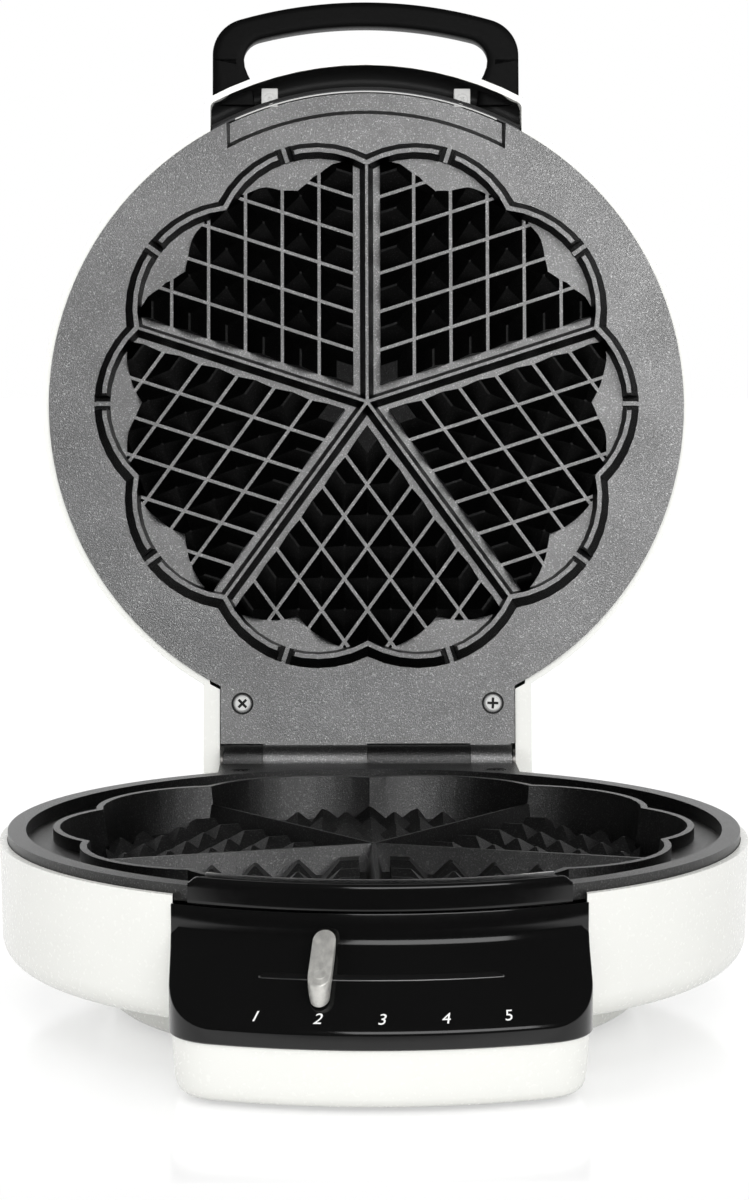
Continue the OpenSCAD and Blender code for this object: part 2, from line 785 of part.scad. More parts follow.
module cover_section(inset) {
    intersection() {
        offset(delta = -inset) offset(r = lid_round) offset(delta = -lid_round)
            polygon([[-80, parting_z - 60], [cover_r, parting_z - 60], [cover_r, parting_z + lid_h], [-80, parting_z + lid_h]]);
        translate([0, parting_z + 0.6 - (inset > 0 ? 20 : 0)]) square([cover_r + 1, lid_h + 40]);
    }
}

module neck_plan(inset) {
    offset(delta = -inset) offset(r = 5) offset(delta = -5) {
        intersection() {
            circle(r = neck_r);
            translate([-neck_half, -neck_r - 1]) square([neck_w, neck_r - 60]);
        }
        translate([-neck_half, 60]) square([neck_w, hinge_l + neck_back - 60]);
        translate([-neck_half + 5, -70]) square([neck_w - 10, 140]);
    }
}

module neck_section(inset) {
    top = parting_z + lid_h - 8;
    translate([0, 0, parting_z + 0.6 - (inset > 0 ? 20 : 0)])
        linear_extrude(top - inset - parting_z - 0.6 + (inset > 0 ? 20 : 0)) neck_plan(inset);
}

module lid_shell() {
    color(WHITE) at_lid() difference() {
        union() {
            rotate_extrude() cover_section(0);
            neck_section(0);
        }
        rotate_extrude() cover_section(wall);
        neck_section(wall);
        at_handle_legs() handle_tenon(fit);
    }
    // thick sides beside the plate's flange
    color(WHITE) at_lid() difference() {
        intersection() {
            neck_section(wall / 2);
            for (s = [-1, 1]) translate([s * (neck_half - neck_side / 2), hinge_l - 20, parting_z + 10])
                cube([neck_side, 2 * (neck_back + 20), 40], center = true);
        }
        rotate_extrude() cover_section(wall / 2);
        translate([-neck_w, -neck_w, parting_z - cut]) cube([2 * neck_w, neck_w + 60, 60]);
        translate([-neck_w, 60, parting_z - 20]) cube([2 * neck_w, 100, 20.6]);
    }
}

module upper_plate() {
    color(CAST) at_lid() difference() {
        union() {
            translate([0, 0, parting_z]) cylinder(h = lid_plate_t, r = plate_r - fit);
            flange(lid_knuckles, parting_z - gap / 2);
            translate([0, 0, parting_z + eps]) mirror([0, 0, 1]) {
                sealing_rib();
                dividers(cusp_r(rib_top_in) + 0.6, rib_h - 0.1);
                studs(petal_r - 6.4 - petal_border);
            }
        }
        knuckles(base_knuckles, gap);
        bridge_recess();
        flange_screw_holes(parting_z - gap / 2, -1);
    }
}

// Recess with drafted walls that clears the bridge on the base
module bridge_recess() {
    flare = notch_draft * cut / notch_depth;
    low = parting_z - cut;
    high = parting_z + notch_depth;
    intersection() {
        rotate_extrude() polygon([[notch_r - flare, low], [plate_r + 5, low],
            [plate_r + 5, high], [notch_r + notch_draft, high]]);
        rotate([90, 0, 0]) linear_extrude(2 * plate_r)
            polygon([[-notch_half - flare, low], [notch_half + flare, low],
                [notch_half - notch_draft, high], [-notch_half + notch_draft, high]]);
    }
}

module plate_screws() {
    color(STEEL) at_lid() flange_screws(parting_z - gap / 2, -1);
}

module upper_element() {
    color(STEEL) at_lid() element(parting_z + lid_plate_t + tube_r + fit, 24);
}

module upper_heat_shield() {
    color(STEEL) at_lid() difference() {
        union() {
            translate([0, 0, parting_z + 16]) cylinder(h = shield_t, r = pan_r - 14);
            translate([0, 0, parting_z + lid_plate_t + fit])
                ring(pan_r - 14, pan_r - 14 - shield_t, 16 - lid_plate_t - fit + eps);
        }
        translate([-40, 70, parting_z]) cube([80, 60, 15]);
    }
}

// ---- handle ----

module at_handle_legs() {
    for (s = [-1, 1]) translate([s * (handle_w - leg_w) / 2, 0, parting_z + handle_low]) children();
}

module handle_tenon(grow) {
    translate([-4 - grow, -neck_r - 3, 3 - grow]) cube([8 + 2 * grow, 16, handle_t - 6 + 2 * grow]);
}

module handle_outline() {
    difference() {
        offset(r = 20) offset(delta = -20) difference() {
            translate([-handle_w / 2, -handle_r - 4]) square([handle_w, handle_r]);
            translate([0, 240 - handle_r]) difference() { circle(r = 400); circle(r = 240); }
        }
        offset(r = 12) offset(delta = -12) difference() {
            translate([-handle_w / 2 + leg_w, -handle_r]) square([handle_w - 2 * leg_w, handle_r - 60]);
            translate([0, 240 - handle_r]) difference() { circle(r = 400); circle(r = 240 - bar_w); }
        }
        circle(r = neck_r + fit);
    }
}

module handle() {
    color(BLACK) at_lid() {
        translate([0, 0, parting_z + handle_low]) linear_extrude(handle_t) intersection() {
            handle_outline();
            translate([-handle_w, -handle_r - 10]) square([2 * handle_w, handle_r - 90]);
        }
        at_handle_legs() handle_tenon(0);
    }
}

module at_handle_screws() {
    for (s = [-1, 1]) translate([s * handle_screw_x, -handle_screw_y, parting_z]) children();
}

module handle_bracket() {
    color(BLACK) at_lid() difference() {
        union() {
            translate([0, 0, parting_z + bracket_low])
                linear_extrude(lid_h - 8 - wall - bracket_low - fit) difference() {
                    intersection() {
                        circle(r = bracket_r);
                        translate([-neck_half + 6, -neck_r]) square([neck_w - 12, 40]);
                    }
                    circle(r = bracket_in_r);
                }
            // screw bosses, standing proud towards the plate
            intersection() {
                at_handle_screws() translate([-boss_w / 2, -6, boss_low]) cube([boss_w, 10, 12]);
                translate([0, 0, parting_z]) ring(bracket_in_r + 3, plate_r + gap, 30);
            }
        }
        at_handle_legs() handle_tenon(fit);
        at_handle_screws() cylinder(h = 14, r = screw_r + fit);
    }
}

module handle_screws() {
    color(STEEL) at_lid() at_handle_screws() translate([0, 0, boss_low - 1.4]) {
        cylinder(h = 1.4, r = 2.3);
        cylinder(h = 9, r = screw_r);
    }
}

module neck_trim() {
    color([0.5, 0.5, 0.52]) at_lid() translate([0, 0, parting_z + notch_depth + 0.4]) linear_extrude(3) difference() {
        intersection() {
            difference() { circle(r = plate_r + 1.6); circle(r = plate_r + fit); }
            translate([-neck_half + 8, -neck_r]) square([neck_w - 16, 60]);
        }
        for (s = [-1, 1]) translate([s * handle_screw_x, -plate_r]) square([boss_w + 2 * gap, 20], center = true);
    }
}

base_shell();
foot_bowl();
rubber_feet();
bowl_screws();
lower_plate();
lower_plate_screws();
lower_element();
lower_heat_shield();
thermostat();
thermostat_bracket();
terminal_block();
cord_gland();
control_housing();
control_panel();
plate_bridge();
housing_screws();
slider_knob();
control_lever();
thermostat_spindle();
hinge_pin();
pin_clips();
lid_shell();
upper_plate();
plate_screws();
upper_element();
upper_heat_shield();
handle();
handle_bracket();
handle_screws();
neck_trim();
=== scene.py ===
import json
import math

import bmesh
import bpy
from mathutils import Matrix, Vector

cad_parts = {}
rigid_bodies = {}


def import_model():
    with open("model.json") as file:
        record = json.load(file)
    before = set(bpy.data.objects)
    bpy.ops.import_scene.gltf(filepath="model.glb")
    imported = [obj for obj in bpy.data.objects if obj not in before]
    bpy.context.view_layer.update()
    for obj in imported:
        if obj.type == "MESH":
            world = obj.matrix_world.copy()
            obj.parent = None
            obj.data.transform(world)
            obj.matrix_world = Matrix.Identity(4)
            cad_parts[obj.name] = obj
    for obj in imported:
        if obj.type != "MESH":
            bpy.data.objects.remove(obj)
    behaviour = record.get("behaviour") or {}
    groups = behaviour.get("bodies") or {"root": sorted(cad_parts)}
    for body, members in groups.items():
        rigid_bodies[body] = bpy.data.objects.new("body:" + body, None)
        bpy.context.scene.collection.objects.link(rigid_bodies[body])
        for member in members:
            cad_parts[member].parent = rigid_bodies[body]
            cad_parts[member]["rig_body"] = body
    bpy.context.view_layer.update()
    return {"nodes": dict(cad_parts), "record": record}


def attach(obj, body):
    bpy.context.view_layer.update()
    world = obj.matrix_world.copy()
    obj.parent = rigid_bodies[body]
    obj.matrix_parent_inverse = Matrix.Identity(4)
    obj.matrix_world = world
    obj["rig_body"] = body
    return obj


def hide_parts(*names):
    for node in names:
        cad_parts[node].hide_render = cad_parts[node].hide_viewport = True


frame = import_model()

# ---- sizes, in millimetres about the plate centre, heights above the table ----

PLATE_Y = -30.9186
RIM_Z = 60.0
PARTING_Z = 60.3
HINGE_L = 136.6
OPEN_ANGLE = 99.67
PETALS = 10
SHELL_R = 124.6
NECK_R = 137.3
HANDLE_R = 158.6
BAR_W = 9.6
LIP_R = 134.55
LIP_BEND = 128.0
POD_R = 149.0
POD_HALF = 62.8
POD_CORNER = 19.0
LEDGE_R = 125.2
LEDGE_Z = 54.6
PANEL_REAR_Z = 45.5
PANEL_FRONT_Z = 25.0
PANEL_SLOPE = math.atan((PANEL_REAR_Z - PANEL_FRONT_Z) / (POD_R - LEDGE_R))
BAND_Z = 19.4
SLOT_R = 134.5
SETTING_STEP = 7.4
SLOT_HALF = 15.4
FIELD_R = 97.0
TIP_LOW = 0.6
TIP_HIGH = 6.25
VENT_INNER_R = 98.2
VENT_OUTER_R = 104.4
VENT_BAR_HALF = 0.8
VENT_HALF = 3.4
RIB_EDGE_R = 105.2
KNOB_ANGLE = -SETTING_STEP
KNOB_W = 6.9
BRIDGE_HALF = 52.4
BRIDGE_FRONT_HALF = 57.7
BRIDGE_TOP_Z = 63.3
BRIDGE_FRONT_R = 122.35
FLANGE_SCREW_X = 47.7
FLANGE_SCREW_Y = HINGE_L - 21.8
HANDLE_SCREW_X = 37.3

# ---- placing ----

MM = Matrix.Scale(0.001, 4)
ON_BASE = MM @ Matrix.Translation((0, PLATE_Y, 0))
HINGE = Matrix.Translation((0, HINGE_L, RIM_Z))
ON_LID = ON_BASE @ HINGE @ Matrix.Rotation(math.radians(-OPEN_ANGLE), 4, "X") @ HINGE.inverted()
ON_CONTROL = ON_BASE @ Matrix.Rotation(math.radians(KNOB_ANGLE), 4, "Z")
PLACES = {"base": ON_BASE, "lid": ON_LID, "control": ON_CONTROL}


def panel_z(r):
    return PANEL_REAR_Z - (r - LEDGE_R) * math.tan(PANEL_SLOPE)


# ---- mesh helpers ----

def smooth_by_angle(mesh, angle):
    mesh.polygons.foreach_set("use_smooth", [True] * len(mesh.polygons))
    mesh.set_sharp_from_angle(angle=math.radians(angle))
    mesh.update()


def link(name, mesh):
    piece = bpy.data.objects.new(name, mesh)
    bpy.context.scene.collection.objects.link(piece)
    return piece


def applied(piece):
    """The piece's evaluated mesh, with its modifiers applied."""
    graph = bpy.context.evaluated_depsgraph_get()
    graph.update()
    mesh = bpy.data.meshes.new_from_object(piece.evaluated_get(graph))
    piece.modifiers.clear()
    piece.data = mesh
    return piece


def finish_piece(piece, body, material, stands_for=(), angle=32):
    piece.data.materials.clear()
    piece.data.materials.append(material)
    smooth_by_angle(piece.data, angle)
    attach(piece, body)
    if stands_for:
        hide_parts(*stands_for)
    return piece


def from_bmesh(name, bm, body, material, stands_for=(), angle=32, bevel=0.0, place=None):
    """Closes a mesh drawn in millimetres, places it and hands it to its body."""
    bmesh.ops.remove_doubles(bm, verts=bm.verts, dist=0.002)
    bmesh.ops.recalc_face_normals(bm, faces=bm.faces)
    mesh = bpy.data.meshes.new(name)
    bm.to_mesh(mesh)
    bm.free()
    mesh.transform(PLACES[body] if place is None else place)
    piece = link(name, mesh)
    if bevel:
        rounding = piece.modifiers.new("edge rounding", "BEVEL")
        rounding.width = bevel * 0.001
        rounding.segments = 3
        rounding.limit_method = "ANGLE"
        rounding.angle_limit = math.radians(40)
        applied(piece)
    return finish_piece(piece, body, material, stands_for, angle)


def dress(node, material, adjust=None):
    """A merged copy of a CAD node with smooth curves, in place of the node."""
    source = frame["nodes"][node]
    bm = bmesh.new()
    bm.from_mesh(source.data)
    bmesh.ops.remove_doubles(bm, verts=bm.verts, dist=0.00001)
    bmesh.ops.dissolve_degenerate(bm, edges=bm.edges, dist=0.000005)
    if adjust:
        place = PLACES[source["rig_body"]]
        back = place.inverted()
        for vert in bm.verts:
            vert.co = place @ adjust(back @ vert.co)
    mesh = bpy.data.meshes.new(node + "_surface")
    bm.to_mesh(mesh)
    bm.free()
    if "custom_normal" in mesh.attributes:
        mesh.attributes.remove(mesh.attributes["custom_normal"])
    piece = link(node + "_surface", mesh)
    return finish_piece(piece, source["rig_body"], material, (node,))


def lathe(bm, profile, steps):
    """Turns a closed profile of (radius, height) about the Z axis."""
    rings = []
    for i in range(steps):
        a = math.radians(360 * i / steps)
        rings.append([bm.verts.new((r * math.cos(a), r * math.sin(a), z)) for r, z in profile])
    count = len(profile)
    for i in range(steps):
        a, b = rings[i], rings[(i + 1) % len(rings)]
        for j in range(count):
            k = (j + 1) % count
            bm.faces.new((a[j], b[j], b[k], a[k]))


def loft(bm, rings, cap=True):
    """Joins closed rings of equal length, with both ends closed or open, and returns their vertices."""
    made = [[bm.verts.new(p) for p in ring] for ring in rings]
    for a, b in zip(made, made[1:]):
        for i in range(len(a)):
            k = (i + 1) % len(a)
            bm.faces.new((a[i], a[k], b[k], b[i]))
    if cap:
        bm.faces.new(made[0])
        bm.faces.new(made[-1])
    return made


def arc(cx, cy, r, a0, a1, steps):
    """Points along an arc about (cx, cy) between two angles in degrees."""
    angles = [math.radians(a0 + (a1 - a0) * i / steps) for i in range(steps + 1)]
    return [(cx + r * math.cos(a), cy + r * math.sin(a)) for a in angles]


# ---- materials ----

def new_material(name):
    material = bpy.data.materials.new(name)
    material.use_nodes = True
    nodes = material.node_tree.nodes
    shader = nodes["Principled BSDF"]
    return material, nodes, material.node_tree.links, shader


def object_space(nodes, links, scale=(1000, 1000, 1000)):
    """Object coordinates in millimetres."""
    place = nodes.new("ShaderNodeTexCoord")
    mapping = nodes.new("ShaderNodeMapping")
    mapping.inputs["Scale"].default_value = scale
    links.new(place.outputs["Object"], mapping.inputs["Vector"])
    return mapping.outputs["Vector"]


def noise(nodes, links, space, scale, detail=2.0, roughness=0.5):
    texture = nodes.new("ShaderNodeTexNoise")
    texture.inputs["Scale"].default_value = scale
    texture.inputs["Detail"].default_value = detail
    texture.inputs["Roughness"].default_value = roughness
    links.new(space, texture.inputs["Vector"])
    return texture.outputs["Fac"]


def ramp(nodes, links, value, stops):
    colours = nodes.new("ShaderNodeValToRGB")
    while len(colours.color_ramp.elements) < len(stops):
        colours.color_ramp.elements.new(0.5)
    for element, (position, colour) in zip(colours.color_ramp.elements, stops):
        element.position = position
        element.color = (*colour, 1) if len(colour) == 3 else (colour[0],) * 3 + (1,)
    links.new(value, colours.inputs["Fac"])
    return colours.outputs["Color"]


def bump(nodes, links, shader, height, strength, distance):
    relief = nodes.new("ShaderNodeBump")
    relief.inputs["Strength"].default_value = strength
    relief.inputs["Distance"].default_value = distance
    links.new(height, relief.inputs["Height"])
    links.new(relief.outputs["Normal"], shader.inputs["Normal"])


def plain_finish(name, colour, roughness, grain=0.6, relief=0.05, spread=0.06, shine=0.5):
    """A moulded or rolled surface: faint unevenness of colour, gloss and relief."""
    material, nodes, links, shader = new_material(name)
    space = object_space(nodes, links)
    fine = noise(nodes, links, space, grain, 3)
    wide = noise(nodes, links, space, 0.03, 2)
    dark = [c * (1 - spread) for c in colour]
    light = [min(1.0, c * (1 + spread)) for c in colour]
    links.new(ramp(nodes, links, wide, [(0.3, dark), (0.7, light)]), shader.inputs["Base Color"])
    links.new(ramp(nodes, links, fine, [(0.3, (roughness * 0.85,)), (0.7, (roughness * 1.15,))]),
              shader.inputs["Roughness"])
    shader.inputs["Specular IOR Level"].default_value = shine
    bump(nodes, links, shader, fine, relief, 0.0002)
    return material


# share of the coating's colour left where the upper plate's painted shade is darkest
PAINTED_SHADE_LEVEL = 0.06


def maths(nodes, links, operation, *values):
    """A Math node on numbers and sockets."""
    step = nodes.new("ShaderNodeMath")
    step.operation = operation
    for socket, value in zip(step.inputs, values):
        if isinstance(value, (int, float)):
            socket.default_value = value
        else:
            links.new(value, socket)
    return step.outputs[0]


def between(nodes, links, value, low, high):
    """One where a value lies between two others, zero elsewhere."""
    above = maths(nodes, links, "GREATER_THAN", value, low)
    return maths(nodes, links, "MULTIPLY", above, maths(nodes, links, "LESS_THAN", value, high))


def upper_face_shade(nodes, links):
    """Painted shade for the upper plate's coating colour: full on its flats; dark on slopes, on stud tips and
    beside the bars in the steam gaps.
    """
    def do(operation, *values):
        return maths(nodes, links, operation, *values)

    place = nodes.new("ShaderNodeTexCoord")
    shut = nodes.new("ShaderNodeMapping")
    shut.inputs["Location"].default_value = ON_LID.inverted().translation
    shut.inputs["Rotation"].default_value = (math.radians(OPEN_ANGLE), 0, 0)
    shut.inputs["Scale"].default_value = (1000, 1000, 1000)
    links.new(place.outputs["Object"], shut.inputs["Vector"])
    axis = nodes.new("ShaderNodeSeparateXYZ")
    links.new(shut.outputs["Vector"], axis.inputs[0])
    x, y, z = axis.outputs["X"], axis.outputs["Y"], axis.outputs["Z"]
    r = do("SQRT", do("ADD", do("MULTIPLY", x, x), do("MULTIPLY", y, y)))
    facing = nodes.new("ShaderNodeVectorMath")
    facing.operation = "DOT_PRODUCT"
    facing.inputs[1].default_value = (ON_LID.to_3x3() @ Vector((0, 0, -1))).normalized()
    links.new(place.outputs["Normal"], facing.inputs[0])
    slope = nodes.new("ShaderNodeMapRange")
    slope.inputs["From Min"].default_value = 0.98
    slope.inputs["From Max"].default_value = 0.93
    links.new(facing.outputs["Value"], slope.inputs["Value"])
    stands = do("SUBTRACT", PARTING_Z, z)
    tips = do("MULTIPLY", between(nodes, links, stands, TIP_LOW, TIP_HIGH), do("LESS_THAN", r, FIELD_R))
    half_petal = math.pi / PETALS
    turned = do("WRAP", do("ARCTAN2", y, x), half_petal, -half_petal)
    across = do("ABSOLUTE", do("MULTIPLY", r, do("SINE", turned)))
    vents = do("MULTIPLY", between(nodes, links, r, VENT_INNER_R, VENT_OUTER_R),
               between(nodes, links, across, VENT_BAR_HALF, VENT_HALF))
    # painted shade: slopes, stud tips and steam gaps are darkened in the coating's colour, not by the lamps
    dark = do("MAXIMUM", slope.outputs["Result"], do("MAXIMUM", tips, vents))
    dark = do("MULTIPLY", dark, do("LESS_THAN", r, RIB_EDGE_R))
    return do("MULTIPLY_ADD", dark, PAINTED_SHADE_LEVEL - 1.0, 1.0)


def casting_finish(name, colour, roughness, fleck, relief, shade=None):
    """Sprayed non-stick coating on a rough casting: orange-peel relief with fine bright flecks, and its
    colour scaled by a painted shade where one is given.
    """
    material, nodes, links, shader = new_material(name)
    space = object_space(nodes, links)
    peel = noise(nodes, links, space, 2.1, 3, 0.6)
    wide = noise(nodes, links, space, 0.035, 3)
    spots = noise(nodes, links, space, 1.7, 2, 0.7)
    mottled = ramp(nodes, links, wide, [(0.3, [c * 0.86 for c in colour]), (0.7, [c * 1.12 for c in colour])])
    flecks = ramp(nodes, links, spots, [(0.55, (0.0,)), (0.7, (fleck,))])
    mix = nodes.new("ShaderNodeMix")
    mix.data_type = "RGBA"
    mix.blend_type = "ADD"
    mix.inputs["Factor"].default_value = 1.0
    links.new(mottled, mix.inputs["A"])
    links.new(flecks, mix.inputs["B"])
    coat = mix.outputs["Result"]
    # painted shade: the coating's colour is scaled down by the given shade
    if shade:
        shaded = nodes.new("ShaderNodeVectorMath")
        shaded.operation = "SCALE"
        links.new(coat, shaded.inputs[0])
        links.new(shade(nodes, links), shaded.inputs["Scale"])
        coat = shaded.outputs["Vector"]
    links.new(coat, shader.inputs["Base Color"])
    links.new(ramp(nodes, links, peel, [(0.3, (roughness * 0.8,)), (0.7, (roughness * 1.2,))]),
              shader.inputs["Roughness"])
    shader.inputs["Metallic"].default_value = 1.0
    bump(nodes, links, shader, peel, relief, 0.0004)
    return material


def brushed_finish(name, colour, roughness, stretch, metallic=1.0):
    """Metal with fine brush lines."""
    material, nodes, links, shader = new_material(name)
    lines = noise(nodes, links, object_space(nodes, links, stretch), 1.0, 4, 0.6)
    dark = [c * 0.86 for c in colour]
    light = [min(1, c * 1.1) for c in colour]
    links.new(ramp(nodes, links, lines, [(0.3, dark), (0.7, light)]), shader.inputs["Base Color"])
    links.new(ramp(nodes, links, lines, [(0.3, (roughness * 0.8,)), (0.7, (roughness * 1.25,))]),
              shader.inputs["Roughness"])
    shader.inputs["Metallic"].default_value = metallic
    bump(nodes, links, shader, lines, 0.12, 0.0001)
    return material


WHITE_PLASTIC = plain_finish("white gloss plastic", (0.89, 0.893, 0.855), 0.25,
                             grain=0.8, relief=0.02, spread=0.01)
# the upper plate's coating, with painted shade on its slopes, stud tips and steam gaps
UPPER_COATING_PAINTED_SHADE = casting_finish("upper plate coating with painted shade", (0.24, 0.24, 0.24), 0.38, 0.3, 0.4, upper_face_shade)
# painted shade: the lower plate's coating is the same coating as the upper plate's, painted darker
LOWER_COATING_PAINTED_SHADE = casting_finish("lower plate coating with painted shade", (0.1, 0.1, 0.1), 0.34, 0.12, 0.5)
PANEL_GLOSS = plain_finish("black gloss panel", (0.004, 0.004, 0.004), 0.12, grain=0.3, relief=0.01)
BLACK_SATIN = plain_finish("black satin plastic", (0.003, 0.003, 0.003), 0.34,
                           grain=1.2, relief=0.04, shine=0.05)
NECK_BLACK = plain_finish("dull black recess", (0.012, 0.012, 0.012), 0.4,
                          grain=1.2, relief=0.04, shine=0.18)
RUBBER = plain_finish("black rubber", (0.03, 0.03, 0.03), 0.75, grain=1.5, relief=0.2)
SCREW_STEEL = brushed_finish("screw steel", (0.2, 0.2, 0.2), 0.36, (300, 300, 40))
KNOB_METAL = brushed_finish("brushed knob metal", (0.82, 0.81, 0.77), 0.5, (700, 60, 700), 0.72)
SCREW_BRIGHT = brushed_finish("bright screw steel", (0.8, 0.8, 0.79), 0.5, (300, 300, 40), 0.6)
ELEMENT_STEEL = brushed_finish("heater sheath steel", (0.34, 0.33, 0.32), 0.4, (200, 200, 200))
SHIELD_METAL = brushed_finish("rolled aluminium", (0.7, 0.7, 0.71), 0.33, (30, 400, 400))
CERAMIC = plain_finish("thermostat ceramic", (0.72, 0.66, 0.55), 0.6, grain=0.9, relief=0.1)
TERMINAL = plain_finish("terminal plastic", (0.8, 0.77, 0.7), 0.5)
GREY_TRIM = plain_finish("grey trim", (0.05, 0.05, 0.052), 0.4, shine=0.2)
BOSS_GREY = plain_finish("boss grey", (0.58, 0.58, 0.57), 0.45)
# black used as painted shadow: the slot's dark line and the flange screws' crosses and gaps
PAINTED_SHADOW_BLACK = plain_finish("painted shadow black", (0.001, 0.001, 0.001), 0.6)
DIGIT_WHITE = plain_finish("printed white ink", (0.85, 0.85, 0.84), 0.5, grain=2.0, relief=0.02)

SLOT_MATERIALS = {
    "white_plastic": WHITE_PLASTIC, "foot_rubber": RUBBER, "screw_steel": SCREW_STEEL,
    "coated_casting": UPPER_COATING_PAINTED_SHADE, "element_steel": ELEMENT_STEEL, "shield_aluminium": SHIELD_METAL,
    "thermostat_ceramic": CERAMIC, "terminal_plastic": TERMINAL, "black_rubber": RUBBER,
    "black_gloss": PANEL_GLOSS, "brushed_metal": KNOB_METAL, "black_satin": BLACK_SATIN,
    "grey_trim": GREY_TRIM,
}


def draw_in_lip(point):
    """The front wall of the neck, drawn in to a tighter arc."""
    wall_r, fade, half = 127, 5, 63
    r = math.hypot(point.x, point.y)
    if point.y > -95 or r < wall_r:
        return point
    x = min(abs(point.x), half)
    target = LIP_R - LIP_BEND + math.sqrt(LIP_BEND ** 2 - x ** 2)
    drawn = math.sqrt(NECK_R ** 2 - x ** 2)
    point.y += (drawn - target) * min(1.0, (r - wall_r) / fade)
    return point


def widen_notch(point):
    """A wider slope along the arc of the bridge recess."""
    r = math.hypot(point.x, point.y)
    if point.y < -90 and 113.0 < r < 114.2 and abs(point.x) < 54.3 and point.z < PARTING_Z + 0.5:
        point.x *= 112.7 / r
        point.y *= 112.7 / r
    return point


def dress_cad_nodes():
    """A finish for every node, and smooth copies of the large shells and plates."""
    for part in frame["record"]["subparts"]:
        # the lower plate takes the coating that is painted darker as painted shade
        material = LOWER_COATING_PAINTED_SHADE if part["node"] == "lower_plate" else SLOT_MATERIALS[part["material_slot"]]
        node = frame["nodes"][part["node"]]
        node.data.materials.clear()
        node.data.materials.append(material)
    dress("base_shell", WHITE_PLASTIC)
    dress("foot_bowl", WHITE_PLASTIC)
    dress("lid_shell", WHITE_PLASTIC, draw_in_lip)
    dress("upper_plate", UPPER_COATING_PAINTED_SHADE, widen_notch)
    dress("lower_plate", LOWER_COATING_PAINTED_SHADE)


dress_cad_nodes()


# ---- control front ----

def pod_edge(angle, inset=0.0):
    """Distance from the plate centre to the housing outline, at an angle in degrees off the front."""
    a = abs(math.radians(angle))
    corner_x = POD_HALF - POD_CORNER
    corner_y = math.sqrt((POD_R - POD_CORNER) ** 2 - corner_x ** 2)
    if a <= math.atan2(corner_x, corner_y):
        return POD_R - inset
    if a >= math.atan2(POD_HALF - inset, corner_y):
        return (POD_HALF - inset) / math.sin(a)
    along = corner_x * math.sin(a) + corner_y * math.cos(a)
    across = corner_x * math.cos(a) - corner_y * math.sin(a)
    return along + math.sqrt(max(0.0, (POD_CORNER - inset) ** 2 - across ** 2))


def bend(start, corner, end, steps=6):
    """A smooth bend from start to end that is pulled towards a corner."""
    points = []
    for i in range(steps + 1):
        t = i / steps
        points.append(tuple((1 - t) ** 2 * s + 2 * t * (1 - t) * c + t * t * e
                            for s, c, e in zip(start, corner, end)))
    return points


def panel_profile(angle):
    """Section of the panel as (radius, height), at an angle in degrees off the front."""
    edge = pod_edge(angle)
    room = edge - LEDGE_R
    fillet = min(1.9, room * 0.42)
    lip = min(1.0, room * 0.3)
    slope = math.tan(PANEL_SLOPE)
    rise = fillet * math.hypot(1, slope)
    points = [(LEDGE_R - 0.25, LEDGE_Z), (LEDGE_R - 0.1, LEDGE_Z - 0.05), (LEDGE_R, LEDGE_Z - 0.3)]
    points.append((LEDGE_R, 49.5))
    foot = LEDGE_R + fillet
    points += bend((LEDGE_R, PANEL_REAR_Z + rise), (LEDGE_R, PANEL_REAR_Z), (foot, panel_z(foot)))
    for t in (0.25, 0.5, 0.75):
        r = foot + (room - fillet - lip) * t
        points.append((r, panel_z(r)))
    top = panel_z(edge)
    points += bend((edge - lip, panel_z(edge - lip)), (edge, top), (edge, top - lip * 1.3), 5)
    points += [(edge, BAND_Z + 0.35), (edge - min(0.35, room * 0.1), BAND_Z)]
    inner = max(edge - 2.2, LEDGE_R - 0.25)
    points += [(inner, BAND_Z), (inner, panel_z(inner) - 2.8), (LEDGE_R - 0.25, panel_z(LEDGE_R) - 3.0)]
    return points


def control_panel_surface():
    """Sloping black panel: upright wall, fillet, conical face and a rounded front edge."""
    last = math.degrees(math.asin(POD_HALF / (LEDGE_R + 0.1)))
    angles = [last * math.sin(math.pi / 2 * i / 80) for i in range(-80, 81)]
    bm = bmesh.new()
    rings = [[(r * math.sin(math.radians(a)), -r * math.cos(math.radians(a)), z) for r, z in panel_profile(a)]
             for a in angles]
    loft(bm, rings)
    return from_bmesh("control_panel_surface", bm, "base", PANEL_GLOSS, ("control_panel",), 28)


# inset from the housing's edge, and height
HOUSING_OUTLINE = [(0.9, BAND_Z), (0.9, 18.6), (1.2, 13.0), (1.7, 7.0), (2.1, 4.6), (2.8, 2.9), (4.2, 1.8),
                   (6.0, 1.5)]


def housing_surface():
    """White housing under the panel: drawn in towards a rounded bottom edge."""
    last = math.degrees(math.asin(POD_HALF / (SHELL_R - 3)))
    angles = [last * math.sin(math.pi / 2 * i / 80) for i in range(-80, 81)]
    bm = bmesh.new()
    rings = []
    for a in angles:
        points = [(max(pod_edge(a, inset), 108.0), z) for inset, z in HOUSING_OUTLINE]
        points += [(104.0, 1.5), (104.0, BAND_Z)]
        rings.append([(r * math.sin(math.radians(a)), -r * math.cos(math.radians(a)), z) for r, z in points])
    loft(bm, rings)
    return from_bmesh("housing_surface", bm, "base", WHITE_PLASTIC, ("control_housing",), 40)


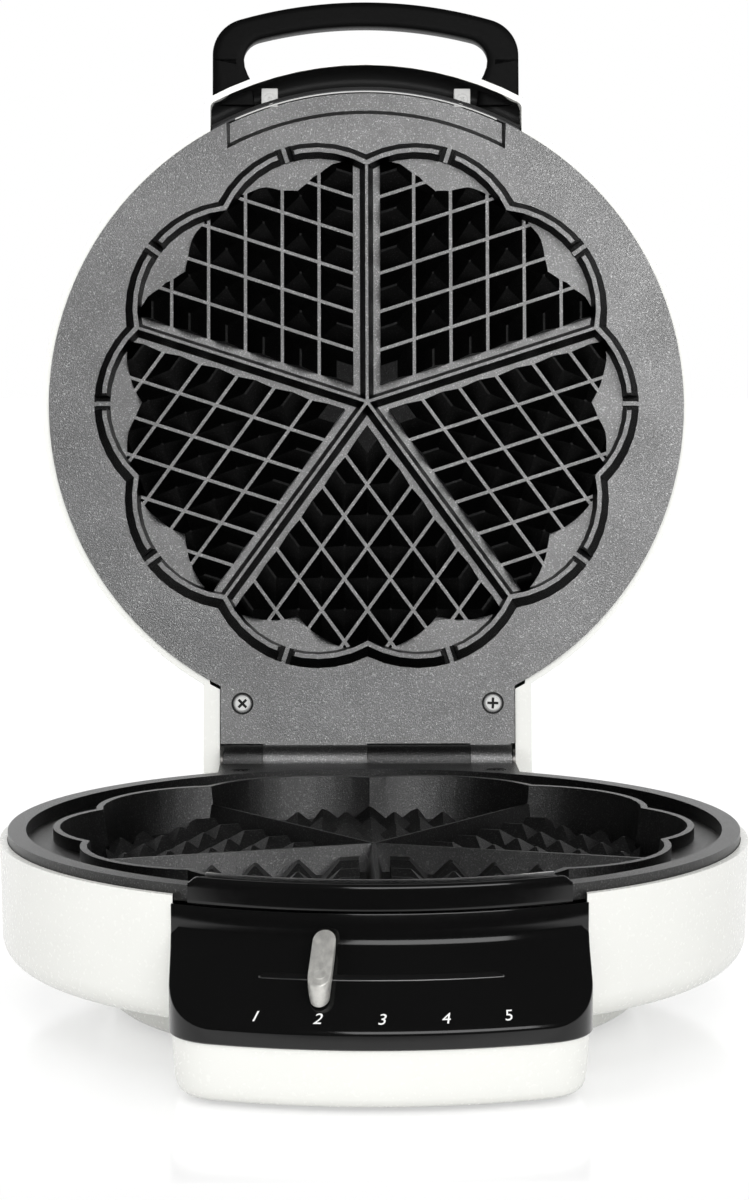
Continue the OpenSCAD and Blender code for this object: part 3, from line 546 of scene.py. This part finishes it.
def slot_and_trim():
    """Painted shadow of the curved slot as a black strip sunk by a hair, and the bright rolled lip along its
    front with a dot at each end.
    """
    start, end = -90 - SLOT_HALF, -90 + SLOT_HALF
    lip_r = SLOT_R + 0.75
    bm = bmesh.new()
    rings = []
    for i in range(97):
        a = math.radians(start + (end - start) * i / 96)
        ends = math.sqrt(max(0.0, 1 - (2 * i / 96 - 1) ** 30))
        ring = []
        for k in range(8):
            b = 2 * math.pi * k / 8
            r = SLOT_R + 0.9 * ends * math.cos(b)
            ring.append((r * math.cos(a), r * math.sin(a), panel_z(r) + 0.04 + 0.06 * math.sin(b)))
        rings.append(ring)
    loft(bm, rings)
    # painted shadow: the black strip stands for the shade inside the slot
    from_bmesh("slot_shadow_line", bm, "base", PAINTED_SHADOW_BLACK)
    bm = bmesh.new()
    rings = []
    for i in range(97):
        a = math.radians(start + (end - start) * i / 96)
        thick = 0.17 + 0.05 * math.sin(math.pi * i / 96)
        ring = []
        for k in range(8):
            b = 2 * math.pi * k / 8
            r = lip_r + thick * math.cos(b)
            ring.append((r * math.cos(a), r * math.sin(a), panel_z(lip_r) + 0.1 + thick * math.sin(b)))
        rings.append(ring)
    loft(bm, rings)
    for a in (math.radians(start), math.radians(end)):
        r = SLOT_R + 0.5
        bmesh.ops.create_uvsphere(bm, u_segments=12, v_segments=8, radius=0.4, matrix=Matrix.Translation(
            (r * math.cos(a), r * math.sin(a), panel_z(r) + 0.1)))
    from_bmesh("slot_bright_lip", bm, "base", SCREW_STEEL)


BRIDGE_PROFILE = (
    [(115.1, 59.0)] + bend((115.1, 62.3), (115.1, 63.2), (116.1, 63.25), 4)
    + [(118, 63.35), (121, 63.3), (122.4, 63.25)] + bend((123.2, 63.2), (124.5, 63.0), (124.5, 61.6), 5)
    + [(124.5, 60), (124.5, 57), (124.5, 56.2)] + bend((124.5, 55.6), (124.5, 54.95), (124.0, 54.95), 3)
    + [(122.4, 54.95), (122.4, 57), (122.3, 59.0)])


def bridge_half(r, z):
    """Half the bridge's width: narrower where it reaches over the plate."""
    over = BRIDGE_HALF + min(1.0, max(0.0, (BRIDGE_TOP_Z - z) / 3.0))
    if r < BRIDGE_FRONT_R:
        return over
    if z < RIM_Z - 0.4:
        return BRIDGE_FRONT_HALF
    return over + min(1.0, r - BRIDGE_FRONT_R) * (BRIDGE_FRONT_HALF - over)


def bridge_cover():
    """Black bridge over the front rim: rounded edges, and ends that widen in front of the rim."""
    bm = bmesh.new()
    rings = []
    for i in range(-60, 61):
        t = i / 60
        ring = []
        for r, z in BRIDGE_PROFILE:
            x = t * bridge_half(r, z)
            ring.append((x, -math.sqrt(r * r - x * x), min(z, 61.0 + (BRIDGE_FRONT_HALF - abs(x)) * 0.9)))
        rings.append(ring)
    # each end is closed in two faces, over the plate and in front of it
    made = loft(bm, rings, cap=False)
    front = BRIDGE_PROFILE.index((122.4, 63.25))
    for ring in (made[0], made[-1]):
        bm.faces.new(ring[:front + 1] + ring[-1:])
        bm.faces.new(ring[front:])
    return from_bmesh("bridge_cover", bm, "base", PANEL_GLOSS, ("plate_bridge",), 30)


MARKS_R = 145.8


def number_marks():
    """The five settings, printed in front of the slot and turned towards the plate centre."""
    tilt = Matrix.Rotation(PANEL_SLOPE, 4, "X")
    on_panel = Matrix.Translation((0, -MARKS_R, panel_z(MARKS_R) + 0.05))
    for number in range(1, 6):
        angle = math.radians((number - 3) * 7.31 - 0.12)
        curve = bpy.data.curves.new("setting_%d" % number, "FONT")
        curve.body = str(number)
        curve.size = 5.4
        curve.align_x, curve.align_y = "CENTER", "CENTER"
        curve.extrude = 0.03
        curve.shear = 0.22
        curve.resolution_u = 6
        holder = link("setting_%d" % number, curve)
        graph = bpy.context.evaluated_depsgraph_get()
        mesh = bpy.data.meshes.new_from_object(holder.evaluated_get(graph))
        bpy.data.objects.remove(holder)
        mesh.transform(ON_BASE @ Matrix.Rotation(angle, 4, "Z") @ on_panel @ tilt)
        piece = link("setting_%d_mark" % number, mesh)
        finish_piece(piece, "base", DIGIT_WHITE)


def knob_body():
    """Brushed metal knob: rounded bar that leans forward, with a drawn-in front and a finger dimple."""
    back_r, front_r = 127.0, 144.9
    top_back, top_front = 50.4, 37.5
    half = KNOB_W / 2
    lean = math.atan2(top_back - top_front, front_r - back_r)
    bm = bmesh.new()

    def outline(width, back, front, steps=14):
        ring = []
        for k in range(steps + 1):
            b = math.pi * k / steps
            ring.append((width * math.cos(b), -(front + width * math.sin(b))))
        for k in range(steps + 1):
            b = math.pi + math.pi * k / steps
            ring.append((width * math.cos(b), -(back + width * math.sin(b))))
        return ring

    def top(y):
        return top_back - (-y - back_r) * math.tan(lean)

    rings = []
    layers = (((half - 0.4), 0.0, 0.0, 0.0), ((half - 0.12), 0.12, 0.0, 0.0), (half, 0.4, 0.0, 0.0),
              (half * 0.98, 2.4, -0.1, 0.3), (half * 0.93, 5.0, -0.3, 0.9), (half * 0.84, 7.6, -0.7, 1.7),
              (half * 0.72, 8.4, -1.2, 2.2))
    for width, drop, forward, shrink in layers:
        ring = []
        for x, y in outline(width, back_r + half + shrink, front_r - half + forward):
            floor_z = panel_z(-y) + 0.7
            z = max(top(y) - drop, min(floor_z, top(y) - min(drop, 2.4)))
            ring.append((x, y, z))
        rings.append(ring)
    loft(bm, rings)
    piece = from_bmesh("knob_body", bm, "control", KNOB_METAL, ("slider_knob",), 35)
    r = front_r - half - 0.2
    bm = bmesh.new()
    dimple = [(0.0001, 0.03), (1.2, 0.03), (1.55, 0.1), (1.9, 0.14), (2.05, 0.05), (2.1, -0.3),
              (0.0001, -0.3)]
    lathe(bm, dimple, 32)
    place = ON_CONTROL @ Matrix.Translation((0, -r, top(-r))) @ Matrix.Rotation(lean, 4, "X")
    from_bmesh("knob_dimple", bm, "control", KNOB_METAL, (), 40, place=place)
    return piece


# ---- handle and neck ----

def handle_side(inside):
    """Points along the handle from the left leg over the bar to the right leg, outside or inside."""
    half = 59.5 - (12.2 if inside else 0.0)
    corner = 9.0 if inside else 14.5
    arc_r = 176.0 - (BAR_W if inside else 0.0)
    arc_y = 176.0 - HANDLE_R
    corner_x = half - corner
    corner_y = arc_y - math.sqrt((arc_r - corner) ** 2 - corner_x ** 2)
    meet = math.degrees(math.atan2(corner_x, arc_y - corner_y))
    flare = -2.6 if inside else 0.0
    right = [(half + flare * 1.6, -118.0), (half + flare * 1.15, -127.0), (half + flare * 0.55, -130.0),
             (half + flare * 0.12, -133.0), (half, -136.0), (half, corner_y + 2)]
    right += arc(corner_x, corner_y, corner, 0, -90 + meet, 16)
    over = arc(0, arc_y, arc_r, -90 + meet, -90, 24)[1:]
    side = right + over
    return side + [(-x, y) for x, y in side[-2::-1]]


# share of the half width, and depth about the middle
HANDLE_SECTION = [(0.0, -6.5), (0.5, -6.5), (0.86, -6.45), (0.96, -6.2), (1.0, -5.7), (0.98, -3.0),
                  (0.92, 0.5), (0.82, 3.4), (0.66, 5.4), (0.4, 6.3), (0.0, 6.5)]


def handle_loop():
    """Black loop handle: a flat-faced section with a rounded back, swept from foot to foot."""
    middle = PARTING_Z + 7 + 6.5
    outer, inner = handle_side(False), handle_side(True)
    section = HANDLE_SECTION + [(-a, d) for a, d in HANDLE_SECTION[-2:0:-1]]
    bm = bmesh.new()
    rings = []
    for (xo, yo), (xi, yi) in zip(outer, inner):
        cx, cy = (xo + xi) / 2, (yo + yi) / 2
        rings.append([(cx + (xo - cx) * a, cy + (yo - cy) * a, middle + d) for a, d in section])
    loft(bm, rings)
    return from_bmesh("handle_loop", bm, "lid", BLACK_SATIN, ("handle",), 35)


def lip_y(x, r):
    """A line across the neck that runs parallel to its lip."""
    return -(r - LIP_BEND + math.sqrt(LIP_BEND ** 2 - x * x))


def neck_liner():
    """Black recess between the lip and the plate, with a grey ledge along the plate's edge."""
    profile = [(131.9, 1.0), (131.8, 5.5), (131.2, 8.4), (129.6, 9.9), (127.0, 10.2), (125.0, 9.4),
               (124.4, 8.0), (124.3, 3.4), (124.1, 3.1)]
    bm = bmesh.new()
    rings = []
    for i in range(-60, 61):
        x = 60.0 * i / 60
        ring = []
        for r, h in profile:
            y = lip_y(x, r) if r > 126 else -math.sqrt(r * r - x * x)
            ring.append((x, y, PARTING_Z + h))
        ring.append((x, -math.sqrt(123.2 ** 2 - x * x), PARTING_Z + 3.1))
        ring.append((x, -math.sqrt(123.2 ** 2 - x * x), PARTING_Z + 14.0))
        ring.append((x, lip_y(x, 131.9), PARTING_Z + 14.0))
        rings.append(ring)
    loft(bm, rings)
    from_bmesh("neck_liner", bm, "lid", NECK_BLACK, ("handle_bracket",), 40)
    for name, low_r, high_r, low, high, half, material in (
            ("neck_ledge", 122.35, 124.25, 3.4, 6.0, 59.6, GREY_TRIM),
            ("plate_edge_line", 122.1, 122.6, 3.3, 3.8, 50.6, BOSS_GREY)):
        bm = bmesh.new()
        rings = []
        for i in range(-60, 61):
            x = half * i / 60
            rings.append([(x, -math.sqrt(r * r - x * x), PARTING_Z + h)
                          for r, h in ((low_r, low), (high_r, low), (high_r, high), (low_r, high))])
        loft(bm, rings)
        from_bmesh(name, bm, "lid", material, ("neck_trim",) if name == "neck_ledge" else ())


def neck_bosses():
    """Square bosses that carry the handle screws."""
    bm = bmesh.new()
    for side in (-1, 1):
        place = Matrix.Translation((side * HANDLE_SCREW_X, -119.9, PARTING_Z + 6.35))
        place = place @ Matrix.Diagonal((6.3, 7.4, 5.5, 1))
        bmesh.ops.create_cube(bm, size=1, matrix=place)
    from_bmesh("neck_bosses", bm, "lid", BOSS_GREY, bevel=0.35)


# ---- screws ----

def tree_input(tree, name, kind, value=None):
    socket = tree.interface.new_socket(name=name, in_out="INPUT", socket_type=kind)
    if value is not None:
        socket.default_value = value
    return socket.identifier


def crosshead_tree():
    """Screw heads with a cross recess, one on each point of a mesh and turned by it."""
    tree = bpy.data.node_groups.new("crosshead screws", "GeometryNodeTree")
    tree.interface.new_socket(name="Points", in_out="INPUT", socket_type="NodeSocketGeometry")
    ids = {"Head Radius": tree_input(tree, "Head Radius", "NodeSocketFloat", 0.0034),
           "Head Height": tree_input(tree, "Head Height", "NodeSocketFloat", 0.0016),
           "Recess Width": tree_input(tree, "Recess Width", "NodeSocketFloat", 0.001),
           "Recess Length": tree_input(tree, "Recess Length", "NodeSocketFloat", 0.0042),
           "Finish": tree_input(tree, "Finish", "NodeSocketMaterial")}
    tree.interface.new_socket(name="Screws", in_out="OUTPUT", socket_type="NodeSocketGeometry")
    nodes, links = tree.nodes, tree.links
    given = nodes.new("NodeGroupInput")
    out = nodes.new("NodeGroupOutput")
    head = nodes.new("GeometryNodeMeshCylinder")
    head.inputs["Vertices"].default_value = 40
    links.new(given.outputs["Head Radius"], head.inputs["Radius"])
    links.new(given.outputs["Head Height"], head.inputs["Depth"])
    crown = nodes.new("GeometryNodeMeshCone")
    crown.inputs["Vertices"].default_value = 40
    narrower = nodes.new("ShaderNodeMath")
    narrower.operation = "MULTIPLY"
    narrower.inputs[1].default_value = 0.78
    links.new(given.outputs["Head Radius"], narrower.inputs[0])
    links.new(narrower.outputs[0], crown.inputs["Radius Top"])
    links.new(given.outputs["Head Radius"], crown.inputs["Radius Bottom"])
    rise = nodes.new("ShaderNodeMath")
    rise.operation = "MULTIPLY"
    rise.inputs[1].default_value = 0.35
    links.new(given.outputs["Head Height"], rise.inputs[0])
    links.new(rise.outputs[0], crown.inputs["Depth"])
    half = nodes.new("ShaderNodeMath")
    half.operation = "MULTIPLY"
    half.inputs[1].default_value = 0.499
    links.new(given.outputs["Head Height"], half.inputs[0])
    lift = nodes.new("ShaderNodeCombineXYZ")
    links.new(half.outputs[0], lift.inputs["Z"])
    raised = nodes.new("GeometryNodeTransform")
    links.new(crown.outputs["Mesh"], raised.inputs["Geometry"])
    links.new(lift.outputs[0], raised.inputs["Translation"])
    whole = nodes.new("GeometryNodeMeshBoolean")
    whole.operation = "UNION"
    links.new(head.outputs["Mesh"], whole.inputs["Mesh 2"])
    links.new(raised.outputs["Geometry"], whole.inputs["Mesh 2"])
    cuts = []
    for turned in (False, True):
        size = nodes.new("ShaderNodeCombineXYZ")
        links.new(given.outputs["Recess Width" if turned else "Recess Length"], size.inputs["X"])
        links.new(given.outputs["Recess Length" if turned else "Recess Width"], size.inputs["Y"])
        links.new(given.outputs["Head Height"], size.inputs["Z"])
        bar = nodes.new("GeometryNodeMeshCube")
        links.new(size.outputs[0], bar.inputs["Size"])
        place = nodes.new("GeometryNodeTransform")
        links.new(bar.outputs["Mesh"], place.inputs["Geometry"])
        links.new(lift.outputs[0], place.inputs["Translation"])
        cuts.append(place)
    recessed = nodes.new("GeometryNodeMeshBoolean")
    recessed.operation = "DIFFERENCE"
    links.new(whole.outputs["Mesh"], recessed.inputs["Mesh 1"])
    for place in cuts:
        links.new(place.outputs["Geometry"], recessed.inputs["Mesh 2"])
    turn = nodes.new("GeometryNodeInputNamedAttribute")
    turn.data_type = "FLOAT_VECTOR"
    turn.inputs["Name"].default_value = "turn"
    rotation = nodes.new("FunctionNodeEulerToRotation")
    links.new(turn.outputs["Attribute"], rotation.inputs["Euler"])
    spread = nodes.new("GeometryNodeInstanceOnPoints")
    links.new(given.outputs["Points"], spread.inputs["Points"])
    links.new(recessed.outputs["Mesh"], spread.inputs["Instance"])
    links.new(rotation.outputs["Rotation"], spread.inputs["Rotation"])
    real = nodes.new("GeometryNodeRealizeInstances")
    links.new(spread.outputs["Instances"], real.inputs["Geometry"])
    coated = nodes.new("GeometryNodeSetMaterial")
    links.new(real.outputs["Geometry"], coated.inputs["Geometry"])
    links.new(given.outputs["Finish"], coated.inputs["Material"])
    links.new(coated.outputs["Geometry"], out.inputs["Screws"])
    return tree, ids


CROSSHEAD, CROSSHEAD_INPUTS = crosshead_tree()


def screw_heads(name, body, spots, radius, height, finish, stands_for=()):
    """Heads at spots of (point, facing, spin in degrees), drawn in millimetres in the body's own drawing."""
    place = PLACES[body]
    mesh = bpy.data.meshes.new(name)
    mesh.from_pydata([place @ Vector(point) for point, _, _ in spots], [], [])
    turn = mesh.attributes.new("turn", "FLOAT_VECTOR", "POINT")
    for i, (_, facing, spin) in enumerate(spots):
        aim = (place.to_3x3() @ Vector(facing)).normalized().to_track_quat("Z", "Y")
        turned = aim.to_matrix() @ Matrix.Rotation(math.radians(spin), 3, "Z")
        turn.data[i].vector = turned.to_euler()
    piece = link(name, mesh)
    heads = piece.modifiers.new("crosshead screws", "NODES")
    heads.node_group = CROSSHEAD
    for label, value in (("Head Radius", radius), ("Head Height", height), ("Recess Width", radius * 0.25),
                         ("Recess Length", radius * 0.8), ("Finish", finish)):
        heads[CROSSHEAD_INPUTS[label]] = value
    applied(piece)
    return finish_piece(piece, body, finish, stands_for, 30)


def flange_screw_shadows():
    """Painted shadow: black crosses in the upper flange screws' recesses, and a black ring painted as the
    dark gap round each head.
    """
    bm = bmesh.new()
    low, high = PARTING_Z - 0.21, PARTING_Z + 0.1
    ring = [(3.45, low), (4.2, low), (4.2, high), (3.45, high)]
    for x, spin in ((-FLANGE_SCREW_X, 45), (FLANGE_SCREW_X, 2)):
        made = len(bm.verts)
        lathe(bm, ring, 40)
        bmesh.ops.translate(bm, verts=list(bm.verts)[made:], vec=(x, FLANGE_SCREW_Y, 0))
        for turned, height in ((0, 0.22), (90, 0.2)):
            place = Matrix.Translation((x, FLANGE_SCREW_Y, PARTING_Z - height))
            place = place @ Matrix.Rotation(math.radians(spin + turned), 4, "Z")
            bmesh.ops.create_cube(bm, size=1, matrix=place @ Matrix.Diagonal((4.2, 0.95, 0.1, 1)))
    from_bmesh("flange_screw_shadows", bm, "lid", PAINTED_SHADOW_BLACK)


def pair(x, y, z, facing, spins):
    """Two spots to the left and right of the middle, for heads that face up or down."""
    return [((side * x, y, z), (0, 0, facing), spin) for side, spin in zip((-1, 1), spins)]


def all_screws():
    """Crosshead screws of the flanges and of the handle."""
    spots = pair(FLANGE_SCREW_X, FLANGE_SCREW_Y, PARTING_Z + 0.97, -1, (40, 4))
    screw_heads("upper_flange_screws", "lid", spots, 0.0034, 0.0014, SCREW_BRIGHT)
    flange_screw_shadows()
    spots = pair(FLANGE_SCREW_X, FLANGE_SCREW_Y, RIM_Z - 1.4, 1, (25, 70))
    screw_heads("lower_flange_screws", "base", spots, 0.0034, 0.0014, BLACK_SATIN)
    spots = pair(HANDLE_SCREW_X, -119.3, PARTING_Z + 4.05, -1, (20, 50))
    screw_heads("handle_screw_heads", "lid", spots, 0.0024, 0.0009, BOSS_GREY, ("handle_screws",))


control_panel_surface()
housing_surface()
slot_and_trim()
bridge_cover()
number_marks()
knob_body()
handle_loop()
neck_liner()
neck_bosses()
all_screws()

# ---- studio ----

CAMERA_PLACE = (-0.0170, PLATE_Y * 0.001 - 1.0037, 0.2356)
CAMERA_LENS = 90.9
CAMERA_TILT = 84.28
CAMERA_TURN = -0.98


def studio_camera():
    data = bpy.data.cameras.new("camera")
    data.sensor_width = 36
    data.sensor_fit = "AUTO"
    data.lens = CAMERA_LENS
    data.clip_end = 50
    camera = bpy.data.objects.new("camera", data)
    bpy.context.scene.collection.objects.link(camera)
    camera.location = CAMERA_PLACE
    camera.rotation_euler = (math.radians(CAMERA_TILT), 0, math.radians(CAMERA_TURN))
    bpy.context.scene.camera = camera


def lamp(name, place, target, size, watts, in_reflections=True):
    data = bpy.data.lights.new(name, "AREA")
    data.shape = "RECTANGLE"
    data.size, data.size_y = size
    data.energy = watts
    light = bpy.data.objects.new(name, data)
    bpy.context.scene.collection.objects.link(light)
    light.location = place
    light.rotation_euler = (Vector(target) - Vector(place)).to_track_quat("-Z", "Y").to_euler()
    light.visible_camera = False
    light.visible_glossy = in_reflections


def studio_world():
    world = bpy.data.worlds.new("studio")
    bpy.context.scene.world = world
    world.use_nodes = True
    nodes, links = world.node_tree.nodes, world.node_tree.links
    nodes.clear()
    rays = nodes.new("ShaderNodeLightPath")
    seen = nodes.new("ShaderNodeMath")
    seen.operation = "MAXIMUM"
    links.new(rays.outputs["Is Camera Ray"], seen.inputs[0])
    links.new(rays.outputs["Is Transmission Ray"], seen.inputs[1])
    place = nodes.new("ShaderNodeTexCoord")
    axis = nodes.new("ShaderNodeSeparateXYZ")
    links.new(place.outputs["Generated"], axis.inputs[0])
    backdrop = nodes.new("ShaderNodeMapRange")
    backdrop.inputs["From Min"].default_value = 0.5
    backdrop.inputs["From Max"].default_value = 0.85
    links.new(axis.outputs["Y"], backdrop.inputs["Value"])
    mirrored = nodes.new("ShaderNodeMath")
    mirrored.operation = "MULTIPLY"
    links.new(rays.outputs["Is Glossy Ray"], mirrored.inputs[0])
    links.new(backdrop.outputs["Result"], mirrored.inputs[1])
    white_share = nodes.new("ShaderNodeMath")
    white_share.operation = "MAXIMUM"
    links.new(seen.outputs[0], white_share.inputs[0])
    links.new(mirrored.outputs[0], white_share.inputs[1])
    studio_level = nodes.new("ShaderNodeMix")
    studio_level.data_type = "FLOAT"
    studio_level.inputs["A"].default_value = 0.3
    studio_level.inputs["B"].default_value = 0.03
    links.new(rays.outputs["Is Glossy Ray"], studio_level.inputs["Factor"])
    level = nodes.new("ShaderNodeMix")
    level.data_type = "FLOAT"
    level.inputs["B"].default_value = 1.0
    links.new(white_share.outputs[0], level.inputs["Factor"])
    links.new(studio_level.outputs["Result"], level.inputs["A"])
    sky = nodes.new("ShaderNodeBackground")
    sky.inputs["Color"].default_value = (1, 1, 1, 1)
    links.new(level.outputs["Result"], sky.inputs["Strength"])
    output = nodes.new("ShaderNodeOutputWorld")
    links.new(sky.outputs[0], output.inputs[0])


def studio_floor():
    bm = bmesh.new()
    bmesh.ops.create_circle(bm, cap_ends=True, segments=96, radius=6)
    mesh = bpy.data.meshes.new("floor")
    bm.to_mesh(mesh)
    bm.free()
    floor = link("floor", mesh)
    material, nodes, links, shader = new_material("pale floor")
    space = object_space(nodes, links, (3, 3, 3))
    tone = ramp(nodes, links, noise(nodes, links, space, 1.0), [(0.3, (0.86,) * 3), (0.7, (0.88,) * 3)])
    shader.inputs["Roughness"].default_value = 0.12
    place = nodes.new("ShaderNodeTexCoord")
    axis = nodes.new("ShaderNodeSeparateXYZ")
    links.new(place.outputs["Object"], axis.inputs[0])
    mirror = nodes.new("ShaderNodeMapRange")
    mirror.inputs["From Min"].default_value = -0.245
    mirror.inputs["From Max"].default_value = -0.225
    mirror.inputs["To Max"].default_value = 0.35
    links.new(axis.outputs["Y"], mirror.inputs["Value"])
    links.new(mirror.outputs["Result"], shader.inputs["Specular IOR Level"])
    rays = nodes.new("ShaderNodeLightPath")
    seen = nodes.new("ShaderNodeMath")
    seen.operation = "MAXIMUM"
    links.new(rays.outputs["Is Camera Ray"], seen.inputs[0])
    links.new(rays.outputs["Is Glossy Ray"], seen.inputs[1])
    paler = nodes.new("ShaderNodeVectorMath")
    paler.operation = "SCALE"
    links.new(tone, paler.inputs[0])
    links.new(maths(nodes, links, "MULTIPLY_ADD", seen.outputs[0], -0.38, 1.0), paler.inputs["Scale"])
    links.new(paler.outputs["Vector"], shader.inputs["Base Color"])
    glow = nodes.new("ShaderNodeMath")
    glow.operation = "MULTIPLY"
    glow.inputs[1].default_value = 0.47
    links.new(seen.outputs[0], glow.inputs[0])
    shader.inputs["Emission Color"].default_value = (1, 1, 1, 1)
    links.new(glow.outputs[0], shader.inputs["Emission Strength"])
    dark = nodes.new("ShaderNodeEmission")
    dark.inputs["Color"].default_value = (0.01, 0.01, 0.01, 1)
    ahead = nodes.new("ShaderNodeMapRange")
    ahead.inputs["From Min"].default_value = -0.29
    ahead.inputs["From Max"].default_value = -0.34
    links.new(axis.outputs["Y"], ahead.inputs["Value"])
    unlit = nodes.new("ShaderNodeMath")
    unlit.operation = "MULTIPLY"
    links.new(ahead.outputs["Result"], unlit.inputs[0])
    links.new(rays.outputs["Is Glossy Ray"], unlit.inputs[1])
    blend = nodes.new("ShaderNodeMixShader")
    links.new(unlit.outputs[0], blend.inputs["Fac"])
    links.new(shader.outputs[0], blend.inputs[1])
    links.new(dark.outputs[0], blend.inputs[2])
    links.new(blend.outputs[0], nodes["Material Output"].inputs["Surface"])
    mesh.materials.append(material)


studio_camera()
studio_world()
studio_floor()
lamp("front softbox", (0.55, -1.95, 1.03), (0, 0.13, 0.2), (1.8, 1.1), 21.5)
lamp("ceiling fill", (0.0, -0.3, 2.2), (0, 0, 0.1), (2.4, 2.4), 18, False)
lamp("left fill", (-1.8, -1.0, 0.9), (0, 0, 0.15), (1.2, 1.4), 17, False)
lamp("right fill", (1.8, -1.0, 0.9), (0, 0, 0.15), (1.2, 1.4), 9, False)

bpy.context.scene.view_settings.view_transform = "Standard"
